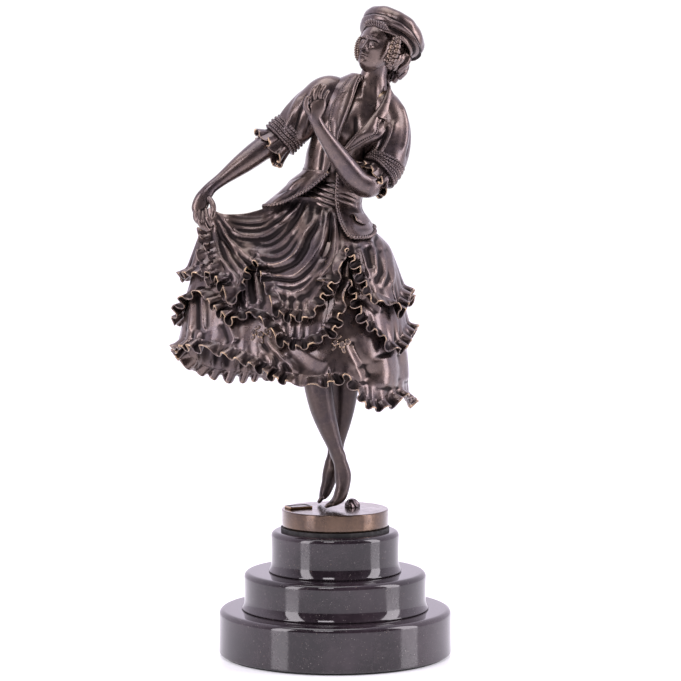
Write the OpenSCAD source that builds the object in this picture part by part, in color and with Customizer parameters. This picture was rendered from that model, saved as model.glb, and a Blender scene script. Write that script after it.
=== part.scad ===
// A dancing girl cast in bronze, on a bronze disc and a stepped base of three turned marble tiers.
// Frame: +Z up, the front of the figure towards -Y, the origin at the centre of the felt underside.
// The figure's own points are given from the top of the bronze disc, for a figure_h of 343.

/* [Marble base] */
// Radius of the lowest marble tier
tier1_r = 80; // [70:1:96]
// Height of the lowest marble tier
tier1_h = 30.5; // [24:0.5:40]
// Radius of the middle tier at its top
tier2_r = 62.8; // [56:0.2:66]
// Height of the middle tier
tier2_h = 25.6; // [20:0.2:34]
// Radius of the upper tier at its top
tier3_r = 44.1; // [42:0.1:52]
// Height of the upper tier
tier3_h = 28.3; // [20:0.1:36]
// How far the foot of the two upper tiers flares out
tier_flare = 2.2; // [1:0.1:3]
// Radius of the rounded top edges of the marble
edge_r = 3.6; // [0.8:0.1:4]
// Thickness of the felt under the base
felt_t = 1.5; // [1:0.1:3]

/* [Bronze disc] */
// Radius of the disc
plinth_r = 36.7; // [34:0.1:40]
// Height of the disc
plinth_h = 12.6; // [12:0.1:18]
// Wall of the hollow disc
plinth_wall = 4; // [3:0.1:5]
// Thickness of the bedding between marble and bronze
bedding_t = 2.5; // [1:0.1:4]
// Radius of the small plug in the side of the disc
plug_r = 1.2; // [0.8:0.1:1.8]

/* [Fixings] */
// Radius of the long threaded stud through the marble
stud_r = 4; // [3:0.5:5]
// Width of the hexagon nut across its corners
nut_w = 15; // [13:0.5:17]
// Height of the hexagon nut
nut_h = 6.5; // [5:0.5:8]
// Radius of the washer
washer_r = 12; // [10:0.5:14]
// Thickness of the washer
washer_t = 1.6; // [1:0.1:2.5]
// Radius of the tenons under the feet
tenon_r = 3; // [2:0.1:3.5]
// Radius of the tenons at the tops of the legs
hip_tenon_r = 4; // [3:0.1:4.6]
// Radius of the spigot at the waist
waist_spigot_r = 6; // [4:0.1:6.6]
// Radius of the dowel in the neck
dowel_r = 2.5; // [1.5:0.1:3.5]
// Radial clearance of pins, tenons and spigots in their holes
pin_gap = 0.1; // [0.05:0.01:0.3]

/* [Figure] */
// Height of the figure, from the disc to the top of the cap
figure_h = 343; // [280:1:412]
// Wall of the hollow castings
shell_t = 2.4; // [1.8:0.1:2.6]
// Gap between castings that lie over one another
lap_gap = 0.35; // [0.2:0.05:0.5]
// How far the frills on the skirt stand out at their edges
frill_flare = 6; // [3:0.5:8]
// Height of the waves along the frilled edges
frill_wave = 2; // [0:0.1:3]
// Number of waves round each frilled edge
frill_count = 12; // [8:1:12]

/* [Hidden] */
$fn = 96;

bronze = [0.36, 0.27, 0.22];
polished = [0.45, 0.31, 0.22];
marble = [0.27, 0.22, 0.23];
steel = [0.62, 0.63, 0.65];
dark = [0.08, 0.08, 0.09];

tier1_z = felt_t;
tier2_z = tier1_z + tier1_h;
tier3_z = tier2_z + tier2_h;
bedding_z = tier3_z + tier3_h;
plinth_z = bedding_z + bedding_t;
deck_z = plinth_z + plinth_h;
scale_k = figure_h / 343;

pocket_h = washer_t + nut_h + 6;
pocket_r = washer_r + 2;
stud_gap = 0.5;
stud_point = 0.8;
stud_bottom = tier1_z + 3;
washer_z = tier1_z + pocket_h - washer_t;
nut_z = washer_z - nut_h;
web_t = 1.5;
front_tenon_h = 4.5;
stud_top = deck_z - front_tenon_h - web_t;
boss_r = stud_r + 5;
deck_t = plinth_wall;
foot_nut_h = 4;
plug_angle = -69;

// ---- Shared geometry -------------------------------------------------------------------------

function unit(v) = v / norm(v);
function ease(t) = let (u = min(max(t, 0), 1)) u * u * (3 - 2 * u);
function at_scale(p) = [for (j = [0:len(p) - 1]) j < 5 ? p[j] * scale_k : p[j]];
function between(p0, p1, p2, p3, t) =
    0.5 * (2 * p1 + (p2 - p0) * t + (2 * p0 - 5 * p1 + 4 * p2 - p3) * t * t
        + (3 * p1 - p0 - 3 * p2 + p3) * t * t * t);
function smooth(p, steps) = [
    for (i = [0:len(p) - 2]) for (s = [0:steps - 1])
        between(p[max(i - 1, 0)], p[i], p[i + 1], p[min(i + 2, len(p) - 1)], s / steps),
    p[len(p) - 1]];

// One elliptical section: [x, y, z, half width, half depth], with a sixth value, the roll of the
// section, where it doesn't stand square to the path.
function section(st, t, n, grow, ref) =
    let (c = [st[0], st[1], st[2]],
        s = len(st) > 5 ? [cos(st[5]), 0, -sin(st[5])] : unit(cross(ref, t)),
        u = len(st) > 5 ? [0, 1, 0] : cross(t, s))
    [for (k = [0:n - 1]) let (w = -360 * k / n)
        c + (st[3] + grow) * cos(w) * s + (st[4] + grow) * sin(w) * u];

function sections(stations, n, steps, grow, ref) =
    let (p = smooth([for (s = stations) at_scale(s)], steps),
        c = [for (q = p) [q[0], q[1], q[2]]],
        last = len(p) - 1)
    [for (i = [0:last])
        section(p[i], unit(c[min(i + 1, last)] - c[max(i - 1, 0)]), n, grow, ref)];

function skin(m, n, at, closed, flip) = [
    for (i = [0:m - 2]) for (k = [0:n - (closed ? 1 : 2)])
        let (a = at + i * n + k, b = at + i * n + (k + 1) % n, c = b + n, d = a + n)
            each flip ? [[a, c, b], [a, d, c]] : [[a, b, c], [a, c, d]]];

function strip(a, b, c, d) = [[a, b, c], [a, c, d]];

// A solid through a list of rings, closed at both ends
module ring_solid(rows) {
    m = len(rows);
    n = len(rows[0]);
    polyhedron(
        [for (r = rows) each r],
        [[for (k = [n - 1:-1:0]) k], each skin(m, n, 0, true, false),
            [for (k = [0:n - 1]) (m - 1) * n + k]]);
}

// A wall between an outer and an inner grid, closed round or open at its sides
module wall_solid(outer, inner, closed = true) {
    m = len(outer);
    n = len(outer[0]);
    q = m * n;
    e = (m - 1) * n;
    polyhedron(
        [for (r = outer) each r, for (r = inner) each r],
        [each skin(m, n, 0, closed, false), each skin(m, n, q, closed, true),
            for (k = [0:n - (closed ? 1 : 2)]) let (j = (k + 1) % n)
                each [each strip(k, q + k, q + j, j), each strip(e + k, e + j, q + e + j, q + e + k)],
            if (!closed) for (i = [0:m - 2]) let (a = i * n, b = a + n - 1)
                each [each strip(a, a + n, q + a + n, q + a), each strip(b + n, b, q + b, q + b + n)]]);
}

module loft(stations, n = 16, steps = 2, grow = 0, ref = [0, 1, 0])
    ring_solid(sections(stations, n, steps, grow, ref));

module tube(stations, n = 18, steps = 2, grow = 0, wall = shell_t, ref = [0, 1, 0])
    wall_solid(sections(stations, n, steps, grow, ref), sections(stations, n, steps, grow - wall, ref));

// A prism that runs front to back through an outline drawn in X and Z
module cut_through(outline, front, back)
    translate([0, back, 0]) rotate([90, 0, 0]) linear_extrude(back - front)
        polygon([for (p = outline) p * scale_k]);

module on_deck() translate([0, 0, deck_z]) children();

// ---- Marble base -----------------------------------------------------------------------------

module tier(r, h, flare) {
    side = [for (i = [0:6]) let (w = 90 - 15 * i) [r + flare - flare * cos(w), 3 * flare * (1 - sin(w))]];
    top = [for (i = [0:5]) let (w = 18 * i) [r - edge_r + edge_r * cos(w), h - edge_r + edge_r * sin(w)]];
    foot = flare > 0 ? side : [[r - 0.5, 0], [r, 0.5]];
    difference() {
        rotate_extrude($fn = 180) polygon([[0, 0], each foot, each top, [0, h]]);
        translate([0, 0, -1]) cylinder(r = stud_r + stud_gap, h = h + 2);
    }
}

module felt_pad() color([0.1, 0.22, 0.14])
    cylinder(r = tier1_r - 3, h = felt_t, $fn = 180);

module marble_lower_tier() color(marble) translate([0, 0, tier1_z]) difference() {
    tier(tier1_r, tier1_h, 0);
    translate([0, 0, -1]) cylinder(r = pocket_r, h = pocket_h + 1);
}

module marble_middle_tier() color(marble) translate([0, 0, tier2_z]) tier(tier2_r, tier2_h, tier_flare);

module marble_upper_tier() color(marble) translate([0, 0, tier3_z]) tier(tier3_r, tier3_h, tier_flare);

module base_stud() color(steel) translate([0, 0, stud_bottom]) {
    cylinder(r1 = stud_r - stud_point, r2 = stud_r, h = stud_point);
    translate([0, 0, stud_point]) cylinder(r = stud_r, h = stud_top - stud_bottom - stud_point);
}

module stud_washer() color(steel) translate([0, 0, washer_z]) difference() {
    cylinder(r = washer_r, h = washer_t);
    translate([0, 0, -1]) cylinder(r = stud_r + pin_gap, h = washer_t + 2);
}

module stud_nut() color(steel) translate([0, 0, nut_z]) difference() {
    cylinder(d = nut_w, h = nut_h, $fn = 6);
    translate([0, 0, -1]) cylinder(r = stud_r, h = nut_h + 2);
}

module bedding_ring() color(dark) translate([0, 0, bedding_z]) difference() {
    cylinder(r = plinth_r + 0.6, h = bedding_t);
    translate([0, 0, -1]) cylinder(r = plinth_r - plinth_wall - 3, h = bedding_t + 2);
}

// ---- Bronze disc -----------------------------------------------------------------------------

front_foot = [2, -1];
rear_foot = [-7, 21];
plug_share = 0.42;
plate_w = 16.8;
plate_d = 11.6;
plate_t = 1.8;
plate_rim = 1.2;
plate_sink = 0.3;

module bronze_disc() color(polished) translate([0, 0, plinth_z]) difference() {
    union() {
        difference() {
            rotate_extrude($fn = 180) polygon([
                [0, 0], [plinth_r - 0.8, 0], [plinth_r, 2], [plinth_r, plinth_h - 0.8],
                [plinth_r - 0.8, plinth_h], [0, plinth_h]]);
            translate([0, 0, -1]) cylinder(r = plinth_r - plinth_wall, h = plinth_h - deck_t + 1);
        }
        cylinder(r = boss_r, h = plinth_h - 1);
    }
    translate([0, 0, -1]) cylinder(r = stud_r, h = stud_top - plinth_z + 1);
    translate([front_foot[0] * scale_k, front_foot[1] * scale_k, plinth_h - front_tenon_h])
        cylinder(r = tenon_r + pin_gap, h = front_tenon_h + 1);
    translate([rear_foot[0] * scale_k, rear_foot[1] * scale_k, plinth_h - deck_t - 1])
        cylinder(r = tenon_r + pin_gap, h = deck_t + 2);
    rotate([0, 0, plug_angle]) translate([plinth_r - plinth_wall - 1, 0, plinth_h * plug_share])
        rotate([0, 90, 0]) cylinder(r = plug_r, h = plinth_wall + 3);
}

module disc_plug() color(dark) translate([0, 0, plinth_z])
    rotate([0, 0, plug_angle]) translate([plinth_r - plinth_wall + 0.4, 0, plinth_h * plug_share])
        rotate([0, 90, 0]) cylinder(r = plug_r, h = plinth_wall - 0.7);

module foundry_plate() color(polished) on_deck() translate([-25.2, -0.5, 0]) rotate([0, 0, 24]) difference() {
    translate([-plate_w / 2, -plate_d / 2, 0]) cube([plate_w, plate_d, plate_t]);
    translate([plate_rim - plate_w / 2, plate_rim - plate_d / 2, plate_t - plate_sink])
        cube([plate_w - 2 * plate_rim, plate_d - 2 * plate_rim, 1]);
}

module rock_mound() color(bronze) on_deck() translate([11.5 * scale_k, 5.5 * scale_k, 0]) rotate_extrude()
    polygon([[0, 0], [5, 0], [4.4, 2.4], [3, 4.6], [1.6, 5.6], [0, 6]]);

module foot_nut() color(steel)
    translate([rear_foot[0] * scale_k, rear_foot[1] * scale_k, deck_z - deck_t - foot_nut_h]) difference() {
        cylinder(r = tenon_r * 1.9, h = foot_nut_h, $fn = 6);
        translate([0, 0, -1]) cylinder(r = tenon_r, h = foot_nut_h + 2);
    }

// ---- Legs ------------------------------------------------------------------------------------

waist_z = 210;
bulkhead_t = 6;
bulkhead_z = 200;
front_hip = [-8, -8];
rear_hip = [7, 9];

front_leg_path = [
    [front_hip[0], front_hip[1], bulkhead_z + 1, 10.4, 10.4], [front_hip[0], front_hip[1], 186, 11.4, 11.4],
    [-10, -10, 150, 13, 13], [-11, -11, 108, 11, 11.5], [-11, -9, 84, 9.6, 10.5],
    [-6, -6, 61, 7.6, 8.6], [-1, -4, 48, 6.4, 6.8], [3.2, -2, 35, 5.5, 5.6], [5.4, -1, 26, 6.5, 5.8],
    [5.6, -1, 17, 5.8, 5.2], [3.6, -1.2, 9, 5.4, 5.4], [-2, -2.2, 4, 3.2, 5.6], [-7.5, -3.4, 2.4, 1.6, 3.6]];

rear_leg_path = [
    [rear_hip[0], rear_hip[1], bulkhead_z + 1, 9.8, 9.8], [rear_hip[0], rear_hip[1], 186, 11.4, 11.4],
    [9, 13, 150, 13, 13], [8, 16, 108, 11, 11.5], [6, 17, 86, 9.6, 10.5],
    [5.2, 18, 69, 8, 9.2], [2.7, 19, 54, 6.8, 7.6], [1, 20, 42, 5.6, 6], [-0.5, 21, 33, 5.4, 5.4],
    [-2.6, 21, 21, 6, 5.6], [-6, 21, 10, 5.2, 5.4], [-10.5, 20.6, 3, 2.4, 4.4]];

module leg(path, hip, foot, foot_depth) {
    on_deck() intersection() {
        loft(path, n = 16);
        translate([-150, -150, 0]) cube([300, 300, bulkhead_z * scale_k]);
    }
    on_deck() translate([hip[0], hip[1], bulkhead_z] * scale_k) translate([0, 0, -1])
        cylinder(r = hip_tenon_r, h = bulkhead_t * scale_k + 0.5);
    translate([foot[0] * scale_k, foot[1] * scale_k, deck_z - foot_depth])
        cylinder(r = tenon_r, h = foot_depth + 2);
}

module front_leg() color(bronze) leg(front_leg_path, front_hip, front_foot, front_tenon_h - 0.3);

module rear_leg() color(bronze) leg(rear_leg_path, rear_hip, rear_foot, deck_t + foot_nut_h + 1);

// ---- Skirt -----------------------------------------------------------------------------------

// The lining of the skirt: height, left, right, front and back reach, and how far its left side is
// drawn together towards the hand that lifts it
skirt_axis = -2;
skirt_rows = [
    [210, -80, 12, -12, 12, 1], [200, -83, 20, -20, 19, 1], [189, -87, 26, -28, 25, 0.85],
    [174, -92, 34, -38, 33, 0.6], [150, -98, 42, -48, 42, 0.35], [125, -105, 47, -56, 49, 0.2],
    [100, -107, 49, -60, 53, 0.1], [60, -106, 49, -60, 54, 0.1]];

function reach(z, j) = lookup(z, [for (r = skirt_rows) [r[0], r[j]]]);

// A point of the skirt at the angle a, the height z and a distance out from the lining
function skirt_point(a, z, out) =
    let (left = cos(a) < 0,
        rx = left ? skirt_axis - reach(z, 1) : reach(z, 2) - skirt_axis,
        ry = sin(a) < 0 ? -reach(z, 3) : reach(z, 4),
        draw = 1 - 0.9 * reach(z, 5) * ease(-cos(a) / 0.55))
    [skirt_axis * scale_k + (rx * scale_k + out) * cos(a), (ry * draw * scale_k + out) * sin(a), z * scale_k];

function turn(a) = (a % 360 + 360) % 360;

// The two faces of a frill from its top to its hem, where it flares and waves
function frill_rows(top, hem, out, n, m, a0, a1, waves) = [
    for (i = [0:m]) [for (k = [0:n - 1])
        let (a = a0 + (a1 - a0) * k / n, t = i / m, z0 = lookup(turn(a), top), z1 = lookup(turn(a), hem))
        skirt_point(a, z0 + (z1 - z0) * t,
            out + frill_flare * t * t + frill_wave * t * t * t * sin(waves * a))]];

module frill(top, hem, out, n = 60, m = 7)
    wall_solid(
        frill_rows(top, hem, out, n, m, 0, 360, frill_count),
        frill_rows(top, hem, out - shell_t, n, m, 0, 360, frill_count));

overskirt_top = [[0, 209.7], [100, 209.7], [140, 207], [165, 203], [180, 206], [195, 202], [220, 206],
    [260, 209.7], [360, 209.7]];
overskirt_hem = [[0, 148], [20, 140], [45, 150], [60, 166], [80, 142], [110, 140], [130, 150], [150, 168],
    [165, 156], [180, 160], [217, 162], [224, 155], [231, 145], [235, 152], [238, 171], [245, 154],
    [250, 139], [257, 135], [263, 137], [268, 152], [276, 166], [284, 180], [292, 161], [298, 147],
    [315, 145], [324, 137], [333, 141], [346, 150], [360, 148]];
middle_hem = [[0, 124], [20, 116], [45, 122], [65, 132], [85, 116], [110, 118], [130, 126], [150, 134],
    [165, 126], [180, 132], [195, 144], [210, 150], [223, 139], [232, 133], [239, 130], [242, 140],
    [247, 134], [251, 119], [260, 116], [266, 122], [274, 126], [280, 138], [286, 136], [294, 127],
    [306, 123], [312, 114], [328, 113], [345, 123], [360, 124]];
lower_hem = [[0, 71], [20, 76], [45, 84], [90, 85], [130, 86], [150, 92], [165, 102], [180, 111],
    [211, 110], [218, 117], [226, 109], [232, 116], [236, 102], [245, 108], [251, 92], [263, 90],
    [274, 92], [283, 99], [289, 80], [303, 74], [321, 76], [330, 85], [346, 79], [360, 71]];

skirt_step = shell_t + lap_gap;
module overskirt() color(bronze) on_deck() difference() {
    union() {
        frill(overskirt_top, overskirt_hem, 2 * skirt_step, m = 9);
        translate([skirt_axis + 1, 0, bulkhead_z] * scale_k)
            cylinder(
                r1 = reach(bulkhead_z, 4) * scale_k + 2 * skirt_step - shell_t / 2,
                r2 = reach(bulkhead_z + bulkhead_t, 4) * scale_k + 2 * skirt_step - shell_t / 2,
                h = bulkhead_t * scale_k);
    }
    for (p = [front_hip, rear_hip]) translate([p[0], p[1], bulkhead_z] * scale_k) translate([0, 0, -1])
        cylinder(r = hip_tenon_r + pin_gap, h = bulkhead_t * scale_k + 2);
    translate([0, 0, bulkhead_z * scale_k - 1])
        cylinder(r = waist_spigot_r + pin_gap, h = bulkhead_t * scale_k + 2);
}

module skirt_middle_frill() color(bronze) on_deck()
    frill([[0, 184], [180, 180], [360, 184]], middle_hem, skirt_step);

module skirt_lower_frill() color(bronze) on_deck()
    frill([[0, 160], [180, 158], [360, 160]], lower_hem, 0);

// ---- Torso and jacket --------------------------------------------------------------------------

bodice_path = [
    [0, 0, bulkhead_z + bulkhead_t, 14.5, 14, 0], [-1, 0, 214, 14.8, 14.2, 0], [0, 1, 224, 15, 13.5, 0],
    [3, 1, 243, 17, 14, 4], [11, 1, 257, 21, 15.5, 10], [16, 2, 270, 21, 13, 16],
    [20.5, 3, 281, 13, 9.8, 16], [24.5, 3.4, 289, 9.2, 8.4, 12], [27.5, 3, 297, 8.8, 8.3, 10]];
neck_top = [27.5, 3, 297];
dowel_h = 12;

module neck_axis() on_deck() translate(neck_top * scale_k) rotate([0, 10, 0]) children();

module bodice() color(bronze) difference() {
    union() {
        on_deck() loft(bodice_path, n = 20);
        on_deck() translate([0, 0, bulkhead_z * scale_k + 0.5])
            cylinder(r = waist_spigot_r, h = bulkhead_t * scale_k + 2);
    }
    neck_axis() translate([0, 0, -dowel_h / 2]) cylinder(r = dowel_r + pin_gap, h = dowel_h);
}

module neck_dowel() color(steel) neck_axis() translate([0, 0, -dowel_h / 2])
    cylinder(r = dowel_r, h = dowel_h);

module sash() color(bronze) on_deck() difference() {
    tube([[-1, 0, waist_z + 0.2, 17.5, 17.4, 0], [-1, 0, 216, 17.8, 17, 0], [0, 1, 223, 17.4, 15.9, 0]],
        n = 28, steps = 3, wall = 2);
    tube(jacket_path, n = 28, grow = lap_gap, wall = shell_t + 2 * lap_gap);
}

jacket_path = [
    [-12.5, 1, waist_z, 33.5, 21, 0], [-8, 1, 218, 28.5, 20.4, 0], [-4.5, 1, 225, 25.5, 19.6, 0],
    [0, 1, 232, 22, 18.6, 0], [3, 1, 243, 22.5, 19.2, 4], [12, 1, 257, 26.5, 20.5, 10],
    [15.5, 2, 271, 27.5, 17.5, 16], [16.5, 3, 283, 25, 14.6, 15], [20, 4, 290, 19, 13, 12],
    [24, 4, 294, 13.4, 12.4, 12]];
neck_opening = [[17, 299], [5, 264], [6, 243], [28, 272], [41, 288], [30, 305]];
waist_opening = [[-1, 250], [-5, 234], [-12, 224], [-21, 216], [-36, 209], [-36, 200], [1, 200],
    [1.5, 213], [2.7, 226]];

module jacket_body() color(bronze) on_deck() difference() {
    tube(jacket_path, n = 28);
    cut_through(neck_opening, -60, 4 * scale_k);
    cut_through(waist_opening, -60, 0);
}

// The jacket's skirt runs from the front edge round the right side to the back, with its top just
// under the waist seam
tail_from = 276;
tail_sweep = 200;
tail_flare = 2.5;
tail_out = 3 * skirt_step + 0.8;
tail_seam = 0.5;
tail_hem = [[0, 190], [60, 192], [120, 196], [170, 200], [276, 206], [284, 196], [296, 189], [320, 187],
    [345, 188], [360, 190]];

module jacket_tail() color(bronze) on_deck() {
    top = waist_z - tail_seam / scale_k;
    rows = function(d) [for (i = [0:5]) [for (k = [0:30])
        let (a = tail_from + tail_sweep * k / 30, t = i / 5, z1 = lookup(turn(a), tail_hem))
        skirt_point(a, top + (z1 - top) * t, d + tail_flare * t * t)]];
    wall_solid(rows(tail_out), rows(tail_out - shell_t), closed = false);
}

lapel_t = 2.3;
lapel_lift = 0.1;
collar_clear = lapel_lift + lapel_t + 0.4;

module jacket_layer(outline, inner_gap, outer_gap, front = -60, back = 0) on_deck() intersection() {
    tube(jacket_path, n = 28, grow = outer_gap, wall = outer_gap - inner_gap);
    cut_through(outline, front, back);
}

left_lapel = [[18, 300], [9, 299], [1, 282], [-3, 261], [0, 250], [5.5, 243], [5, 264], [17, 299]];
right_lapel = [[41, 288], [44, 281], [34, 266], [27, 265], [28, 256], [17, 251], [7, 244], [28, 272]];
module jacket_collar() color(bronze) {
    jacket_layer(left_lapel, lapel_lift, lapel_lift + lapel_t);
    difference() {
        jacket_layer(right_lapel, lapel_lift, lapel_lift + lapel_t);
        on_deck() loft(left_sleeve_path, n = 20, grow = lap_gap);
    }
}

flap_from = 303;
flap_sweep = 26;
flap_top = 202.5;
flap_drop = 5.5;

module pocket_flap() color(bronze) on_deck() {
    out = tail_out + 2.5;
    rows = function(d) [for (i = [0:3]) [for (k = [0:6])
        let (a = flap_from + flap_sweep * k / 6, t = i / 3)
        skirt_point(a, flap_top - flap_drop * t, d + tail_flare * pow(0.35 + 0.3 * t, 2))]];
    wall_solid(rows(out + 1), rows(out), closed = false);
}

// ---- Arms ------------------------------------------------------------------------------------

right_sleeve_path = [[1, 3, 285, 9, 9], [-9, 1.5, 280, 13, 12], [-21, 0, 268, 13.4, 12.8],
    [-30, -1.5, 259, 14, 13.2], [-37, -3, 252.5, 14.6, 13.6]];
right_frill_path = [[-35.5, -2.6, 254, 11, 10], [-41, -4, 249.5, 12.8, 12], [-47, -6, 246, 15, 14]];
right_arm_path = [[-37, -3, 254, 7.8, 7.4], [-49, -7, 247, 8, 7.6], [-63, -13, 236.5, 7.2, 6.8],
    [-76, -18, 226.5, 5.4, 5], [-83, -21, 221, 4.8, 4.6]];
left_sleeve_path = [[31, 3, 279, 8, 8], [37.5, 1, 266, 13, 11.5], [38.5, -4, 254, 13.5, 12.6],
    [35.5, -11, 243, 13, 12.6], [31, -17, 234, 13, 13]];
left_frill_path = [[33.5, -14, 238, 9.4, 9.4], [30.6, -17.6, 233.4, 9.8, 9.8], [27.8, -20.5, 230, 12.4, 12.4],
    [25, -23, 227, 14.5, 14.5]];
left_arm_path = [[29, -18.6, 229.5, 6, 6], [23.5, -23.5, 222, 8.4, 8.2], [15, -28, 226, 8.2, 7.6],
    [3, -34, 241, 7, 6.4], [-8, -40, 257, 5.2, 4.6], [-12.4, -42, 265, 4.6, 4]];

module right_sleeve() color(bronze) on_deck() difference() {
    tube(right_sleeve_path, n = 20);
    loft(jacket_path, n = 28, grow = lap_gap);
}
// The cuff frills fit between the sleeve and the arm: their outer faces keep their distance from the
// inside of the sleeve, and their inner faces from the arm, at every size
right_seat = 0.7;
left_seat = 0.8;
right_arm_room = 1.5;
left_arm_room = 1.8;
right_frill_out = (right_sleeve_path[4][3] - 11.5) * scale_k - shell_t - right_seat;
left_frill_out = (left_sleeve_path[4][3] - left_frill_path[1][3]) * scale_k - shell_t - left_seat;
right_frill_wall = (right_frill_path[0][3] - 7.9) * scale_k + right_frill_out - right_arm_room;
left_frill_wall = (left_frill_path[0][3] - left_arm_path[0][3]) * scale_k + left_frill_out - left_arm_room;

module right_cuff_frill() color(bronze) on_deck()
    tube(right_frill_path, n = 20, grow = right_frill_out, wall = right_frill_wall);
module right_forearm() color(bronze) on_deck() loft(right_arm_path, n = 14);
module left_sleeve() color(bronze) on_deck() difference() {
    tube(left_sleeve_path, n = 20);
    loft(jacket_path, n = 28, grow = lap_gap);
}
module left_cuff_frill() color(bronze) on_deck() difference() {
    tube(left_frill_path, n = 20, grow = left_frill_out, wall = left_frill_wall);
    loft(jacket_path, n = 28, grow = collar_clear);
}
module left_forearm() color(bronze) on_deck() difference() {
    loft(left_arm_path, n = 14);
    loft(jacket_path, n = 28, grow = collar_clear);
}

// Each finger: its root, middle and tip, with its radius
module fingers(list) for (f = list)
    loft([
        [each f[0], f[3], f[3]], [each f[1], f[3] * 0.94, f[3] * 0.94],
        [each f[2], f[3] * 0.6, f[3] * 0.6]], n = 8, ref = [0.3, 0.5, 0.8]);

module right_hand() color(bronze) on_deck() {
    loft([[-83.4, -21.4, 220.6, 4.7, 4.5], [-88, -23, 215, 6, 4.8], [-92, -24, 207, 6.2, 4.2],
        [-92.5, -24, 203, 4.6, 3.4]], n = 12);
    fingers([
        [[-94, -26, 208], [-91.5, -31, 201], [-86, -29, 199], 2.2],
        [[-92, -26, 205], [-89.5, -31, 197.5], [-84.5, -29, 195.5], 2.2],
        [[-91, -25, 203], [-88, -30, 194], [-84, -28.5, 192], 2],
        [[-86, -25, 214], [-83, -30, 209], [-83.5, -31, 203], 2.3]]);
}

module left_hand() color(bronze) on_deck() {
    loft([[-12.7, -42.3, 265.7, 4.5, 3.8], [-13.4, -42.7, 267.2, 4.8, 3.7], [-12.6, -43, 271, 5.6, 3.6],
        [-10.5, -43, 276.5, 6.2, 3.2], [-10, -42.5, 279, 5.2, 2.6]], n = 12);
    fingers([
        [[-14, -43, 277], [-16, -44, 283], [-14.5, -42, 288], 1.7],
        [[-11, -43, 278.5], [-12.5, -43, 285], [-11, -40.5, 290], 1.8],
        [[-8, -42.5, 278], [-8.5, -42, 284], [-7.5, -39, 288], 1.7],
        [[-14.5, -43.5, 269], [-17.5, -46, 274], [-17, -45.5, 279], 2]]);
}

// ---- Head ------------------------------------------------------------------------------------

head_path = [
    [neck_top[0], neck_top[1], neck_top[2] + 0.1, 9, 8.6, 10], [28, -0.5, 303, 10, 11.5, 10],
    [30, -1.5, 310, 12, 14.5, 12], [32.5, -1.5, 319, 13.4, 15.4, 14], [35, 0, 328, 12, 14, 16],
    [37, 1, 334.5, 8.5, 10, 18], [38, 1.5, 338, 3, 3.5, 18]];

module head() color(bronze) difference() {
    on_deck() loft(head_path, n = 20);
    neck_axis() translate([0, 0, -dowel_h / 2]) cylinder(r = dowel_r + pin_gap, h = dowel_h + 0.3);
}

module head_room() on_deck() loft(head_path, n = 20, grow = lap_gap);

hair_path = [[44, 11, 291, 3, 3], [46, 10, 298, 6.5, 7], [46.5, 9, 307, 7.4, 9], [44, 8, 315, 6.5, 8.5],
    [42, 8, 319, 3.6, 5]];

module hair_knot() color(bronze) difference() {
    on_deck() loft(hair_path, n = 16);
    head_room();
    on_deck() loft(jacket_path, n = 28, grow = collar_clear);
}

module near_braid() color(bronze) difference() {
    on_deck() loft([[43, -8, 320, 3, 3], [41.5, -11, 314, 4.2, 3.4], [39.5, -12, 307, 4, 3.4],
        [37.5, -11, 302, 2.6, 2.6]], n = 10);
    head_room();
}

module far_braid() color(bronze) difference() {
    on_deck() loft([[18, -4, 321, 2.4, 3], [16, -6, 315, 3.4, 3.4], [16.5, -6, 309, 3.2, 3.4],
        [19, -5, 304, 2, 2.6]], n = 10);
    head_room();
}

module fringe() color(bronze) difference() {
    on_deck() loft([[19, -9, 328, 2, 2], [24, -14, 331, 2.8, 2.8], [30, -16, 330, 2.8, 2.8],
        [36, -15, 325.5, 2.2, 2.2]], n = 10, ref = [0, 0, 1]);
    head_room();
}

cap_r = 22.5;
cap_h = 15;
module beret() color(bronze) difference() {
    on_deck() translate([38, 3, 324] * scale_k) rotate([-6, 34, 0]) scale(scale_k) rotate_extrude()
        polygon([
            [0, 2], [15, 2], [16, 0], [17.2, 0], [18, 3], [cap_r - 0.8, 6], [cap_r, 8.5],
            [cap_r - 1.6, 11.5], [15, cap_h - 1], [8, cap_h + 1.4], [0, cap_h + 2]]);
    head_room();
    on_deck() loft(hair_path, n = 16, grow = lap_gap);
}

felt_pad();
marble_lower_tier();
marble_middle_tier();
marble_upper_tier();
base_stud();
stud_washer();
stud_nut();
bedding_ring();
bronze_disc();
disc_plug();
foundry_plate();
rock_mound();
foot_nut();
front_leg();
rear_leg();
skirt_lower_frill();
skirt_middle_frill();
overskirt();
bodice();
sash();
jacket_body();
jacket_tail();
jacket_collar();
pocket_flap();
right_sleeve();
right_cuff_frill();
right_forearm();
right_hand();
left_sleeve();
left_cuff_frill();
left_forearm();
left_hand();
neck_dowel();
head();
hair_knot();
near_braid();
far_braid();
fringe();
beret();
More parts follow.
